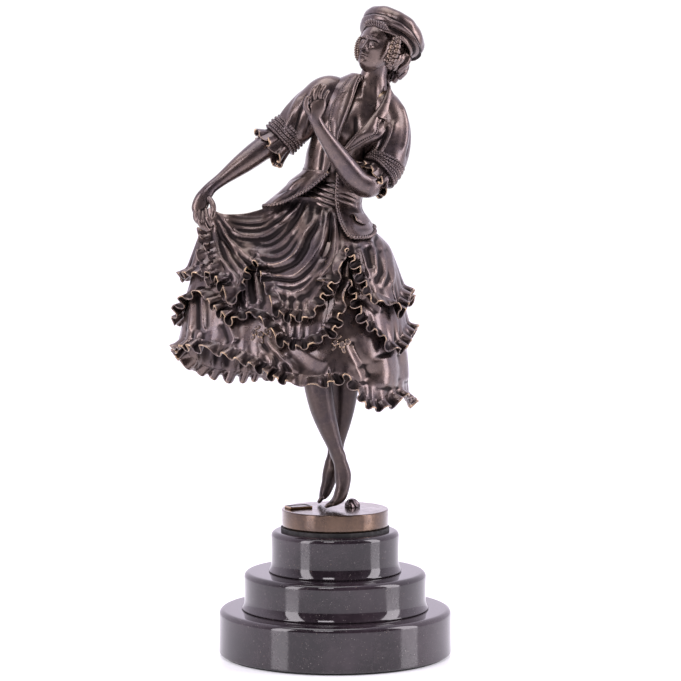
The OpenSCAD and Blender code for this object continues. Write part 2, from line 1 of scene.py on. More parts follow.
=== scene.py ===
import bpy
import numpy as np
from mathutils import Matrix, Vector


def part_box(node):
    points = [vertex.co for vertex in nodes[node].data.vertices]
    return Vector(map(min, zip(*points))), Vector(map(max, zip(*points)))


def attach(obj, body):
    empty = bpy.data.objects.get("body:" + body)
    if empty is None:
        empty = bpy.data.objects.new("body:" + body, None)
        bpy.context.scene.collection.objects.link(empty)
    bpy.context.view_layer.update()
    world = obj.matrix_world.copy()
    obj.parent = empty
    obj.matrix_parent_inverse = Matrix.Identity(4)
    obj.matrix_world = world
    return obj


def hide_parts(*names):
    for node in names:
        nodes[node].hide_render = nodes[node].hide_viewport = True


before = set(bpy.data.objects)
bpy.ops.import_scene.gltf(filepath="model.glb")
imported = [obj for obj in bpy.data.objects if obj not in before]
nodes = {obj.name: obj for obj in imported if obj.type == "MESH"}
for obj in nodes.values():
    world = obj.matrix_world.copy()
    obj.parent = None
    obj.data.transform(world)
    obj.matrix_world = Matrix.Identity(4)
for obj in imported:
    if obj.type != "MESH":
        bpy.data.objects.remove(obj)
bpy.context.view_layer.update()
MM = 0.001


# ---- The view --------------------------------------------------------------------------------
# A long lens stands a little above the middle of the figure and looks slightly down on it.

view_target = np.array([3.7, 0.0, 216.6]) * MM
view_place = np.array([3.7, -1800.0, 352.0]) * MM
lens = bpy.data.cameras.new("long_lens")
lens.sensor_width = 36.0
lens.lens = 139.3
camera = bpy.data.objects.new("long_lens", lens)
bpy.context.scene.collection.objects.link(camera)
camera.location = view_place
drop = np.arctan2(view_place[2] - view_target[2], view_target[1] - view_place[1])
camera.rotation_euler = (np.pi / 2 - drop, 0.0, 0.0)
bpy.context.scene.camera = camera


# ---- Marble base -----------------------------------------------------------------------------
# Three round tiers of dark grey-brown marble with fine pale specks, each turned from a slab and
# polished, with a slightly hollow side, a flared foot and a softened upper edge. They are bored
# through the middle and clamped together by the long stud.

def outward(points, faces):
    """Faces that run the right way round: where the volume they enclose, the sum of the triple
    products of their corners, comes out negative, all of them are reversed."""
    p = points - points.mean(0)
    a, b, c = (p[faces[:, k]] for k in range(3))
    d = np.where(faces[:, 3:] < 0, c, p[faces[:, 3]])
    volume = (np.cross(a, b) * c).sum() + (np.cross(a, c) * d).sum()
    return points, faces if volume > 0 else faces[:, ::-1]


def welded(points, faces):
    """Points that fall on one another become one, and a corner that is then repeated is dropped."""
    kept, index = np.unique(np.round(points * 1e4).astype(np.int64), axis=0, return_index=True,
                            return_inverse=True)[1:]
    faces = np.where(faces < 0, -1, index.ravel()[faces])
    faces = np.where(faces == np.roll(faces, -1, 1), -1, faces)
    faces = np.take_along_axis(faces, np.argsort(faces < 0, axis=1, kind="stable"), 1)
    return points[kept], faces[faces[:, 2] >= 0]


def skin(grid, ends=(), loop=False):
    """Points and faces over a grid of rows and columns: a face joins each point to its neighbours
    in the next row and column, the last column to the first, and in a loop the last row to the
    first. An end that is named, first or last, is closed by a fan round its middle. A fan's faces
    have three corners, and -1 in place of the fourth."""
    rows, cols = grid.shape[:2]
    r = np.arange(rows if loop else rows - 1)[:, None]
    c = np.arange(cols)[None]
    n, below = (c + 1) % cols, (r + 1) % rows
    points = [grid.reshape(-1, 3)]
    faces = [np.stack([r * cols + c, r * cols + n, below * cols + n, below * cols + c], -1).reshape(-1, 4)]
    k = np.arange(cols)
    count = rows * cols
    if "first" in ends:
        points.append(grid[0].mean(0)[None])
        faces.append(np.stack([np.full(cols, count), (k + 1) % cols, k, np.full(cols, -1)], -1))
        count += 1
    if "last" in ends:
        points.append(grid[-1].mean(0)[None])
        base = (rows - 1) * cols
        faces.append(np.stack([np.full(cols, count), base + k, base + (k + 1) % cols, np.full(cols, -1)],
                              -1))
    return outward(np.concatenate(points), np.concatenate(faces))


def together(*skins):
    """One set of points and faces from several, the later ones counted on from the earlier."""
    starts = np.cumsum([0] + [len(points) for points, faces in skins])
    return (np.concatenate([points for points, faces in skins]),
            np.concatenate([np.where(faces < 0, -1, faces + start)
                            for (points, faces), start in zip(skins, starts)]))


def piece(name, shape, material, slot, *replaced):
    """A mesh in millimetres becomes a smooth object in metres that rides on the root body."""
    points, faces = shape
    mesh = bpy.data.meshes.new(name)
    corners = faces >= 0
    sides = corners.sum(1)
    mesh.vertices.add(len(points))
    mesh.vertices.foreach_set("co", (points * MM).ravel())
    mesh.loops.add(int(sides.sum()))
    mesh.loops.foreach_set("vertex_index", faces[corners].astype(np.int32))
    mesh.polygons.add(len(faces))
    mesh.polygons.foreach_set("loop_start", (np.cumsum(sides) - sides).astype(np.int32))
    mesh.polygons.foreach_set("use_smooth", np.ones(len(faces), bool))
    mesh.materials.append(material)
    mesh.update(calc_edges=True)
    made = bpy.data.objects.new(name, mesh)
    bpy.context.scene.collection.objects.link(made)
    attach(made, "root")
    if replaced:
        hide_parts(*replaced)
    return made


class Finish:
    """A node material: its tree and shader, and short ways to add nodes and to join them."""

    def __init__(self, name, metallic=0.0, roughness=0.5):
        self.material = bpy.data.materials.new(name)
        self.material.use_nodes = True
        self.tree = self.material.node_tree
        self.shader = self.tree.nodes["Principled BSDF"]
        self.shader.inputs["Base Color"].default_value = (0.5, 0.5, 0.5, 1.0)
        self.shader.inputs["Metallic"].default_value = metallic
        self.shader.inputs["Roughness"].default_value = roughness
        self.where = self.tree.nodes.new("ShaderNodeTexCoord").outputs["Object"]

    def add(self, kind, inputs=(), **settings):
        """A node with its settings and inputs: a socket is joined, anything else is set."""
        node = self.tree.nodes.new(kind)
        for key, value in settings.items():
            setattr(node, key, value)
        for key, value in dict(inputs).items():
            if isinstance(value, bpy.types.NodeSocket):
                self.tree.links.new(value, node.inputs[key])
            else:
                node.inputs[key].default_value = value
        return node

    def noise(self, scale, detail=3.0, rough=0.55):
        """Cloudy noise over the piece."""
        return self.add("ShaderNodeTexNoise", {"Vector": self.where, "Scale": scale, "Detail": detail,
                                               "Roughness": rough}).outputs["Fac"]

    def ramp(self, value, low, high, to_low=0.0, to_high=1.0):
        """A soft step of a value from one range to another."""
        return self.add("ShaderNodeMapRange", {"Value": value, "From Min": low, "From Max": high,
                                               "To Min": to_low, "To Max": to_high},
                        interpolation_type="SMOOTHSTEP").outputs["Result"]

    def blend(self, share, first, second):
        """Two colours mixed by a share."""
        paint = lambda value: value if isinstance(value, bpy.types.NodeSocket) else (*value, 1.0)
        return self.add("ShaderNodeMix", {0: share, 6: paint(first), 7: paint(second)},
                        data_type="RGBA").outputs[2]

    def times(self, first, second):
        """Two values multiplied."""
        return self.add("ShaderNodeMath", {0: first, 1: second}, operation="MULTIPLY").outputs[0]

    def wear(self, value, key):
        """Joins a value to the shader."""
        self.tree.links.new(value, self.shader.inputs[key])

    def bump(self, height, strength, distance):
        """Fine relief from a height."""
        self.wear(self.add("ShaderNodeBump", {"Height": height, "Strength": strength,
                                              "Distance": distance}).outputs["Normal"], "Normal")


def polished_marble():
    """Clouded dark stone: a slow noise shades the ground, two cell patterns scatter pale and rusty
    specks of under a millimetre, and a hair-fine noise keeps the polish from being a mirror."""
    finish = Finish("polished_marble", roughness=0.16)
    ground = finish.blend(finish.ramp(finish.noise(22, 6, 0.65), 0.35, 0.7), (0.011, 0.007, 0.010),
                          (0.032, 0.022, 0.028))
    ground = finish.blend(finish.ramp(finish.noise(260, 4, 0.7), 0.5, 0.8, 0.0, 0.5), ground,
                          (0.060, 0.046, 0.050))
    for scale, limit, shade in ((620, 0.17, (0.30, 0.27, 0.25)), (340, 0.10, (0.26, 0.19, 0.14)),
                                (1100, 0.22, (0.16, 0.14, 0.14))):
        cells = finish.add("ShaderNodeTexVoronoi",
                           {"Vector": finish.where, "Scale": scale, "Randomness": 1.0})
        speck = finish.ramp(cells.outputs["Distance"], limit, limit * 0.45)
        ground = finish.blend(finish.times(speck, finish.ramp(finish.noise(scale * 0.4, 2), 0.5, 0.62)),
                              ground, shade)
    finish.wear(ground, "Base Color")
    finish.wear(finish.ramp(finish.noise(90, 4), 0.3, 0.7, 0.04, 0.10), "Roughness")
    finish.shader.inputs["Specular IOR Level"].default_value = 0.6
    finish.bump(finish.noise(300, 5), 0.02, 0.0003)
    return finish.material


marble = polished_marble()
edge_r = 3.6
turned_steps = 256


def full_turn(count):
    """Angles evenly round a full turn, as one row."""
    return np.linspace(0, 2 * np.pi, count, endpoint=False)[None]


def turned(profile, steps=turned_steps):
    """A profile of radius and height carried round the upright axis, closed at both ends."""
    profile = np.asarray(profile, float)
    a = full_turn(steps)
    grid = np.stack([profile[:, :1] * np.cos(a), profile[:, :1] * np.sin(a),
                     np.repeat(profile[:, 1:], steps, 1)], -1)
    return grid


def arc(centre, radius, start, end, count):
    """Points on a round corner, from one angle to another, in degrees."""
    w = np.radians(np.linspace(start, end, count))
    return np.stack([centre[0] + radius * np.cos(w), centre[1] + radius * np.sin(w)], -1)


# radii of the stud's bore and of the nut's recess, and the recess's height
bore_r, recess_r, recess_h = 4.5, 14.0, 14.1
for node, flare, hollow in (("marble_lower_tier", 0.0, 0.15), ("marble_middle_tier", 2.2, 0.5),
                            ("marble_upper_tier", 2.2, 0.5)):
    low, high = (np.array(corner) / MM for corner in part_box(node))
    r, z0, z1 = high[1] - flare, low[2], high[2]
    up = np.linspace(0, 1, 40)
    side_z = z0 + 0.8 + (z1 - edge_r - z0 - 0.8) * up
    foot = flare * np.clip(1 - (side_z - z0) / 7.5, 0, 1) ** 2.2
    side_r = r - hollow * np.sin(np.pi * up) * 0.6 + foot
    outline = np.concatenate([
        [[12.0, z0], [side_r[0] - 0.8, z0], [side_r[0] - 0.2, z0 + 0.25]],
        np.stack([side_r, side_z], -1),
        arc((r - edge_r, z1 - edge_r), edge_r, 8, 90, 10),
        np.stack([np.linspace(r - edge_r - 3, 12.0, 12), np.full(12, z1)], -1)])
    inside = [[bore_r, z1], [bore_r, z0]]
    if node == "marble_lower_tier":
        outline[0, 0] = recess_r + 0.5
        inside[1:] = [[bore_r, z0 + recess_h], [recess_r, z0 + recess_h], [recess_r, z0]]
    ring = turned(np.concatenate([outline, inside]))
    piece(node.replace("marble", "turned"), skin(ring, loop=True), marble, "marble", node)


# ---- Fixings and felt ------------------------------------------------------------------------
# The zinc-plated rod, washer and nuts, the steel dowel in the neck, the black bedding under the
# disc and the dark felt glued to the underside. They are hidden or nearly so.

def plated_steel():
    """Bright zinc with a slow cloudiness and fine turning marks."""
    finish = Finish("zinc_plated_steel", metallic=1.0, roughness=0.3)
    finish.wear(finish.blend(finish.ramp(finish.noise(120), 0.3, 0.7), (0.50, 0.50, 0.52),
                             (0.68, 0.68, 0.66)), "Base Color")
    finish.wear(finish.ramp(finish.noise(700), 0.3, 0.7, 0.24, 0.42), "Roughness")
    finish.bump(finish.noise(1500), 0.1, 0.0001)
    return finish.material


def black_bedding():
    """Matt black mastic, a little dusty."""
    finish = Finish("black_bedding")
    finish.wear(finish.blend(finish.ramp(finish.noise(150), 0.4, 0.7), (0.010, 0.009, 0.009),
                             (0.030, 0.027, 0.026)), "Base Color")
    finish.wear(finish.ramp(finish.noise(500), 0.3, 0.7, 0.55, 0.8), "Roughness")
    finish.bump(finish.noise(900), 0.3, 0.0002)
    return finish.material


def dark_felt():
    """Matted wool: short fibres in two directions of noise, soft sheen."""
    finish = Finish("dark_felt", roughness=0.95)
    finish.wear(finish.blend(finish.ramp(finish.noise(900, 6), 0.3, 0.7), (0.010, 0.010, 0.011),
                             (0.024, 0.024, 0.026)), "Base Color")
    finish.shader.inputs["Sheen Weight"].default_value = 0.4
    finish.bump(finish.noise(1800, 6), 0.6, 0.0004)
    return finish.material


for material, kept in ((plated_steel(), ("base_stud", "stud_washer", "stud_nut", "foot_nut", "neck_dowel")),
                       (black_bedding(), ("bedding_ring", "disc_plug")),
                       (dark_felt(), ("felt_pad",))):
    for node in kept:
        nodes[node].data.materials.clear()
        nodes[node].data.materials.append(material)


# ---- Bronze disc, plate and mound ------------------------------------------------------------
# The round disc is cast bronze, turned on its side and top, and less dark than the figure. The
# small blank plate and the lump behind the front foot are soldered to it.

def patinated_bronze(name, dark, warm, gold, gloss=0.36, rub_and_shade_depth=0.20):
    """Brown patina over bronze: slow and fine noises mottle it, hollows are painted nearly black as
    shade, and what stands proud of its surroundings, measured in millimetres as the attribute proud,
    is rubbed back to pale gold. A thin wax coat gives the cool shine, thinned in the hollows with
    the painted shade."""
    finish = Finish(name, metallic=0.92)
    proud = finish.add("ShaderNodeAttribute", attribute_name="proud").outputs["Fac"]
    ground = finish.blend(finish.ramp(finish.noise(45, 5), 0.32, 0.68), dark, warm)
    ground = finish.blend(finish.ramp(finish.noise(420, 4, 0.7), 0.42, 0.78, 0.0, 0.45), ground,
                   tuple(1.6 * v for v in warm))
    # painted shade: where the relief sinks below its surroundings the colour darkens to nearly black
    ground = finish.blend(finish.ramp(proud, 0.0, -0.8 * rub_and_shade_depth, 0.0, 0.92), ground,
                          tuple(0.12 * v for v in dark))
    rubbed = finish.times(finish.ramp(proud, rub_and_shade_depth * 0.28, rub_and_shade_depth),
                          finish.ramp(finish.noise(160, 4), 0.30, 0.62, 0.25, 1.0))
    ground = finish.blend(finish.times(rubbed, 0.85), ground, gold)
    finish.wear(ground, "Base Color")
    shine = finish.ramp(finish.noise(230, 4), 0.3, 0.7, gloss - 0.06, gloss + 0.08)
    dulled = finish.ramp(proud, 0.0, -rub_and_shade_depth, 0.0, 0.2)
    finish.wear(finish.add("ShaderNodeMath", {0: shine, 1: dulled}).outputs[0], "Roughness")
    finish.wear(finish.ramp(proud, -0.7 * rub_and_shade_depth, 0.0, 0.0, 0.5), "Coat Weight")
    finish.shader.inputs["Coat Roughness"].default_value = 0.15
    finish.bump(finish.noise(700, 5, 0.6), 0.12, 0.0003)
    return finish.material


bronze = patinated_bronze("figure_bronze", (0.076, 0.057, 0.062), (0.130, 0.093, 0.080),
                          (0.52, 0.36, 0.22), 0.31)
disc_bronze = patinated_bronze("disc_bronze", (0.064, 0.040, 0.030), (0.120, 0.074, 0.048),
                               (0.42, 0.26, 0.13), 0.20)


def show_relief(made, width=1.1, rub=0.3, polish=None):
    """Stores the attribute proud: the points are averaged with their neighbours until the average
    reaches about the given width, and the height of each point above it is kept, in millimetres."""
    mesh = made.data
    count = len(mesh.vertices)
    place = np.empty(count * 3)
    mesh.vertices.foreach_get("co", place)
    place = place.reshape(-1, 3) / MM
    ends = np.empty(len(mesh.edges) * 2, np.int64)
    mesh.edges.foreach_get("vertices", ends)
    a, b = ends.reshape(-1, 2).T
    normal = np.empty(count * 3)
    mesh.vertices.foreach_get("normal", normal)
    step = np.median(np.linalg.norm(place[a] - place[b], axis=1))
    degree = np.maximum(np.bincount(a, minlength=count) + np.bincount(b, minlength=count), 1)
    mean = place.copy()
    for _ in range(int(np.clip((2 * width / step) ** 2, 2, 60))):
        around = np.stack([np.bincount(a, mean[b, k], count) + np.bincount(b, mean[a, k], count)
                           for k in range(3)], -1)
        mean = 0.5 * mean + 0.5 * around / degree[:, None]
    proud = ((place - mean) * normal.reshape(-1, 3)).sum(1)
    proud = np.where(proud > 0, proud * rub, proud)
    # polish: above nought it rubs to gold as wear, below nought it darkens as painted shade
    if polish is not None:
        proud = proud + polish
    mesh.attributes.new("proud", "FLOAT", "POINT").data.foreach_set("value", proud.astype(np.float32))
    return made


def cast(name, shape, *replaced, material=bronze, slot="bronze", width=1.1, rub=0.12,
         polish=None):
    """A bronze casting: a piece with its relief measured for the patina, its rubbed gold and the
    painted shade in its hollows.
    """
    return show_relief(piece(name, shape, material, slot, *replaced), width, rub, polish)


low, high = (np.array(corner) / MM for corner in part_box("bronze_disc"))
disc_r, disc_low, deck = high[0], low[2], high[2]
wall_t, roof_t = 4.0, 4.0
outline = np.concatenate([
    [[disc_r - wall_t, disc_low], [disc_r - 1.2, disc_low], [disc_r - 0.7, disc_low + 0.4]],
    np.stack([disc_r - 0.45 + 0.45 * np.linspace(0, 1, 8) ** 0.5,
              np.linspace(disc_low + 0.8, disc_low + 3, 8)], -1),
    [[disc_r, deck - 3], [disc_r, deck - 1.0]],
    arc((disc_r - 0.8, deck - 0.8), 0.8, 10, 90, 7),
    np.stack([np.linspace(disc_r - 2, 0.4, 24), np.full(24, deck)], -1)])
roof = deck - roof_t
under = [[8.9, roof], [8.9, disc_low + 0.2], [4.0, disc_low + 0.2], [4.0, deck - 6.2], [0.4, deck - 6.2]]
inside = [[disc_r - wall_t, roof]]
whole = turned(np.concatenate([under[::-1], inside, outline]))
dents = 0.12 * np.sin(whole[..., 0] / 7.1 + 1.3) * np.sin(whole[..., 1] / 5.3)
whole[..., 2] += np.where(whole[..., 2] > deck - 0.5, dents - 0.12, 0)
cast("turned_disc", skin(whole, ends=("first", "last")), "bronze_disc", material=disc_bronze,
     slot="disc_bronze", width=1.5)


def slab(half_x, half_y, height, corner, turn, centre, z0):
    """A flat plate with round corners and a shallow sunk field: rings of a rounded rectangle, each
    a little further in, first up the side and then down into the field."""
    a = np.linspace(0, 2 * np.pi, 96, endpoint=False)
    rings = []
    for inset, z in ((0, 0), (0, height - 0.25), (0.1, height - 0.07), (0.3, height), (1.0, height),
                     (1.25, height - 0.3), (3.0, height - 0.3), (5.2, height - 0.3)):
        hx, hy = half_x - inset, max(half_y - inset, 0.05)
        power = 2 / (2 + 10 * corner)
        x = hx * np.sign(np.cos(a)) * np.abs(np.cos(a)) ** power
        y = hy * np.sign(np.sin(a)) * np.abs(np.sin(a)) ** power
        rings.append(np.stack([x * np.cos(turn) - y * np.sin(turn) + centre[0],
                               x * np.sin(turn) + y * np.cos(turn) + centre[1],
                               np.full_like(x, z0 + z)], -1))
    return skin(np.array(rings), ends=("first", "last"))


cast("blank_plate", slab(8.4, 5.8, 1.8, 1.0, np.radians(24), (-25.2, -0.5), deck - 0.05),
     "foundry_plate", material=disc_bronze, slot="disc_bronze", width=0.8)
u = np.linspace(0, 0.995, 30)[:, None]
a = full_turn(60)
mound_r = 5.0 * np.sqrt(1 - u ** 2.2) * (1 + 0.10 * np.sin(3 * a + 1) + 0.06 * np.sin(7 * a + 5 * u))
mound = np.stack([11.5 + mound_r * np.cos(a), 5.5 + mound_r * np.sin(a),
                  deck + (6 * u ** 0.9 + 0.25 * np.sin(5 * a + 9 * u) * u * (1 - u)) + 0 * a], -1)
cast("cast_mound", skin(mound, ends=("first", "last")), "rock_mound", rub=0.02)


# ---- Legs ------------------------------------------------------------------------------------
# Two bare legs on tiptoe, crossed at the calf, each a casting with its foot and toes. The upper
# ends run up inside the skirt to the bulkhead at the hips.

def curve(points, count):
    """A smooth line through the given points, evenly spaced: each stretch is the usual cubic of its
    four nearest points, and every extra column, such as a radius, follows along."""
    p = np.asarray(points, float)
    before, after = np.vstack([p[:1], p[:-1]]), np.vstack([p[1:], p[-1:]])
    last = np.vstack([after[1:], after[-1:]])
    t = np.linspace(0, 1, 24, endpoint=False)[:, None, None]
    a, b, c, d = before[:-1], p[:-1], after[:-1], last[:-1]
    line = 0.5 * (2 * b + (c - a) * t + (2 * a - 5 * b + 4 * c - d) * t ** 2
                  + (3 * b - a - 3 * c + d) * t ** 3)
    line = np.vstack([line.transpose(1, 0, 2).reshape(-1, p.shape[1]), p[-1:]])
    along = np.r_[0, np.cumsum(np.linalg.norm(np.diff(line[:, :3], axis=0), axis=1))]
    want = np.linspace(0, along[-1], count)
    return np.stack([np.interp(want, along, line[:, k]) for k in range(p.shape[1])], -1)


def unit(v):
    """Vectors cut to a length of one."""
    return v / np.maximum(np.linalg.norm(v, axis=-1, keepdims=True), 1e-9)


def shares(count):
    """Even shares from nought to one, as one column."""
    return np.linspace(0, 1, count)[:, None]


def limb(stations, rows, cols, side=(0, 1, 0), shape=None):
    """A profile carried along a path: at each of the path's points an ellipse of its half width and
    half depth stands square to the path, and shape, if given, adds to the radius by the angle and
    the share of the length."""
    line = curve(stations, rows)
    ahead = unit(np.gradient(line[:, :3], axis=0))
    across = unit(np.cross(np.asarray(side, float), ahead))
    over = np.cross(ahead, across)
    a = np.linspace(0, 2 * np.pi, cols, endpoint=False)[None, :, None]
    more = 0 if shape is None else shape(a[..., 0], shares(rows))[..., None]
    return (line[:, None, :3] + (line[:, None, 3:4] + more) * np.cos(a) * across[:, None]
            + (line[:, None, 4:5] + more) * np.sin(a) * over[:, None])


def lump(x, centre, width):
    """A bell curve: one at its centre, falling off over its width."""
    return np.exp(-((x - centre) / width) ** 2)


def round_lump(angle, centre, width):
    """The same round a limb, by angle in degrees."""
    away = (np.degrees(angle) - centre + 180) % 360 - 180
    return np.exp(-(away / width) ** 2)


def fused(name, shape, voxel, rounds, *replaced, smoothing=0.5, **look):
    """Skins that pass through one another become one casting: they are filled with small cubes,
    the cubes' skin is taken and smoothed, and the result is the piece's own mesh."""
    rough = piece(name + "_rough", shape, bronze, "bronze")
    cubes = rough.modifiers.new("cubes", "REMESH")
    cubes.mode = "VOXEL"
    cubes.voxel_size = voxel * MM
    relax = rough.modifiers.new("relax", "SMOOTH")
    relax.factor = smoothing
    relax.iterations = rounds
    solid = rough.evaluated_get(bpy.context.evaluated_depsgraph_get()).data
    points = np.empty(len(solid.vertices) * 3)
    solid.vertices.foreach_get("co", points)
    corners = np.empty(len(solid.loops), np.int32)
    solid.loops.foreach_get("vertex_index", corners)
    bpy.data.objects.remove(rough)
    return cast(name, (points.reshape(-1, 3) / MM, corners.reshape(-1, 4)), *replaced, **look)


def on_deck(points):
    """From the figure's own height above the disc to the height above the floor."""
    return points + np.array([0, 0, deck])


def toes(heads, tips, radii):
    """Five small lofts from the ball of the foot to the toe tips."""
    made = []
    for head, tip, r in zip(np.asarray(heads, float), np.asarray(tips, float), radii):
        mid = 0.55 * head + 0.45 * tip + np.array([0, 0, 0.5])
        path = [[*head, r * 0.95, r * 0.95], [*mid, r, r * 0.92], [*tip, r * 0.8, r * 0.75]]
        cap = tip + unit(tip - mid) * r * 0.7
        made.append(skin(on_deck(limb(path + [[*cap, 0.15, 0.15]], 14, 14)), ends=("first", "last")))
    return made


front_hip, rear_hip, hip_z = (-8, -8), (7, 9), 200
front_leg = [
    [*front_hip, hip_z, 10.4, 10.4], [*front_hip, 186, 11.4, 11.4], [-10, -10, 150, 13, 13],
    [-11.6, -11, 112, 10.6, 11.2], [-12.2, -11, 98, 10.2, 10.8], [-11.6, -9.6, 86, 9.6, 10.2],
    [-8.8, -7.2, 70, 8.5, 9.4], [-5, -5.4, 57, 7.0, 7.8], [-0.8, -4, 45, 5.4, 6.0],
    [2.6, -2.6, 35, 4.6, 5.0], [4.6, -1.6, 28, 5.2, 5.0], [5.4, -1.2, 22, 5.7, 4.8],
    [5.2, -1.2, 15, 4.9, 4.9], [3.2, -1.4, 8.5, 4.6, 5.6], [0.2, -2, 5.0, 3.3, 6.0],
    [-2.6, -2.6, 3.4, 2.2, 5.4]]
rear_leg = [
    [*rear_hip, hip_z, 9.8, 9.8], [*rear_hip, 186, 11.4, 11.4], [9, 13, 150, 13, 13],
    [8.4, 16, 112, 10.6, 11.2], [7.6, 17, 98, 10.2, 10.8], [6.6, 17, 86, 9.6, 10.2],
    [5.4, 18, 70, 8.5, 9.2], [3.6, 19, 57, 7.2, 7.8], [1.4, 20, 45, 5.6, 6.0],
    [-0.6, 21, 35, 4.7, 5.0], [-2.2, 21, 28, 5.2, 5.0], [-3.4, 21.2, 21, 5.5, 4.8],
    [-5.0, 21.2, 14, 4.7, 4.8], [-7.2, 21, 8, 4.0, 5.2], [-9.2, 20.8, 4, 2.4, 5.0]]


def calf(turned_to):
    """Knee, shin, calf muscle, ankle bones and heel, as bell curves over the length of the leg."""
    def shape(angle, t):
        return (1.5 * round_lump(angle, turned_to + 90, 60) * lump(t, 0.60, 0.075)
                + 0.8 * round_lump(angle, turned_to - 90, 34) * lump(t, 0.45, 0.035)
                - 0.5 * round_lump(angle, turned_to - 90, 30) * lump(t, 0.53, 0.03)
                + 0.35 * round_lump(angle, turned_to - 90, 22) * lump(t, 0.66, 0.09)
                + 0.8 * round_lump(angle, turned_to, 24) * lump(t, 0.815, 0.016)
                + 0.8 * round_lump(angle, turned_to + 180, 24) * lump(t, 0.82, 0.016)
                + 1.1 * round_lump(angle, turned_to + 90, 40) * lump(t, 0.885, 0.022)
                - 0.7 * round_lump(angle, turned_to + 90, 34) * lump(t, 0.835, 0.02))
    return shape


spread = np.array([-5.0, -2.6, -0.4, 1.8, 4.2])
heads = np.stack([np.array([-1.6, -2.0, -2.2, -2.2, -2.0]), -2.2 + spread, np.full(5, 3.4)], -1)
tips = np.stack([np.array([-6.2, -6.6, -6.4, -5.8, -4.8]), -3.0 + spread * 0.92, np.full(5, 1.9)], -1)
# Painted shade: each leg's relief is lowered as a whole, so its colour is darker than the rest of the
# figure
fused("front_leg_casting",
      together(skin(on_deck(limb(front_leg, 230, 72, shape=calf(20))), ends=("first", "last")),
               *toes(heads, tips, (1.75, 1.4, 1.35, 1.3, 1.2))), 0.62, 5, "front_leg",
      polish=-0.09)
heads = np.stack([np.full(5, -8.2), 20.8 + spread * 0.9, np.array([5.2, 5.4, 5.4, 5.2, 5.0])], -1)
tips = np.stack([np.array([-11.4, -11.8, -11.6, -11.2, -10.6]), 20.4 + spread * 0.8, np.full(5, 1.7)], -1)
fused("rear_leg_casting",
      together(skin(on_deck(limb(rear_leg, 230, 72, shape=calf(160))), ends=("first", "last")),
               *toes(heads, tips, (1.7, 1.35, 1.3, 1.25, 1.15))), 0.62, 5, "rear_leg",
      polish=-0.11)


# ---- Skirt: the three flounced tiers ---------------------------------------------------------
# The skirt is cast in three tiers, one over another, each a thin sheet from its seam under the tier
# above to a gathered frill along its edge. The lifting hand pulls the cloth to one side, so the
# overskirt hangs in swags between the hand and the waist and opens in two deep notches.

def ease(t):
    """A soft step from nought to one."""
    t = np.clip(t, 0, 1)
    return t * t * (3 - 2 * t)


def glide(x, table, period=None):
    """A smooth curve through a table of places and values: the usual cubic between two entries, with
    the slope at each entry taken from the entries on both sides of it."""
    xs, ys = np.asarray(table, float).T
    if period:
        x = np.mod(x, period)
        slope_x = np.r_[xs[-2] - period, xs, xs[1] + period]
        slope_y = np.r_[ys[-2], ys, ys[1]]
    else:
        slope_x, slope_y = np.r_[2 * xs[0] - xs[1], xs, 2 * xs[-1] - xs[-2]], np.r_[ys[0], ys, ys[-1]]
    slope = (slope_y[2:] - slope_y[:-2]) / (slope_x[2:] - slope_x[:-2])
    k = np.clip(np.searchsorted(xs, x, side="right") - 1, 0, len(xs) - 2)
    span = xs[k + 1] - xs[k]
    t = np.clip((x - xs[k]) / span, 0, 1)
    return (ys[k] * (1 + 2 * t) * (1 - t) ** 2 + ys[k + 1] * t ** 2 * (3 - 2 * t)
            + span * (slope[k] * t * (1 - t) ** 2 - slope[k + 1] * t ** 2 * (1 - t)))


skirt_axis = -2.0
skirt_rows = np.array([
    [60, -106, 49, -60, 54, 0.1], [100, -107, 49, -60, 53, 0.1], [125, -105, 47, -56, 49, 0.2],
    [150, -98, 42, -48, 42, 0.35], [174, -92, 34, -38, 33, 0.6], [189, -87, 24.8, -28, 25, 0.85],
    [200, -83, 18, -20, 19, 1], [210, -80, 11, -12, 12, 1]])


def skirt_at(a, z, out):
    """A point of the skirt at an angle, a height and a distance out: a half ellipse on each side of
    the axis, whose half widths follow the table by height, drawn together towards the held side."""
    left, right, front, back, pinch = (glide(z, skirt_rows[:, [0, k]]) for k in range(1, 6))
    c, s = np.cos(a), np.sin(a)
    half_x = np.where(c < 0, skirt_axis - left, right - skirt_axis)
    half_y = np.where(s < 0, -front, back) * (1 - 0.9 * pinch * ease(-c / 0.55))
    return np.stack([skirt_axis + (half_x + out) * c, (half_y + out) * s, deck + z + 0 * c], -1)


def skirt_angle(x, z, out):
    """The angle on the front of the skirt at which it reaches a given distance to the side."""
    left, right = glide(z, skirt_rows[:, [0, 1]]), glide(z, skirt_rows[:, [0, 2]])
    reach = x - skirt_axis
    half_x = np.where(reach < 0, skirt_axis - left, right - skirt_axis) + out
    return 2 * np.pi - np.arccos(np.clip(reach / half_x, -0.999, 0.999))


def to_line(x, z, line):
    """For points in the upright plane: the distance to a line, the side of it, above or below, and
    the share of its length at the nearest place."""
    p, q = line[:-1], line[1:]
    along = q - p
    dx, dz = x[..., None] - p[:, 0], z[..., None] - p[:, 1]
    t = np.clip((dx * along[:, 0] + dz * along[:, 1]) / (along ** 2).sum(1), 0, 1)
    ex, ez = dx - t * along[:, 0], dz - t * along[:, 1]
    far = ex ** 2 + ez ** 2
    k = far.argmin(-1)[..., None]
    pick = lambda v: np.take_along_axis(v, k, -1)[..., 0]
    side = np.sign(along[:, 0] * dz - along[:, 1] * dx)
    return np.sqrt(pick(far)), pick(side), (k[..., 0] + pick(t)) / len(p)


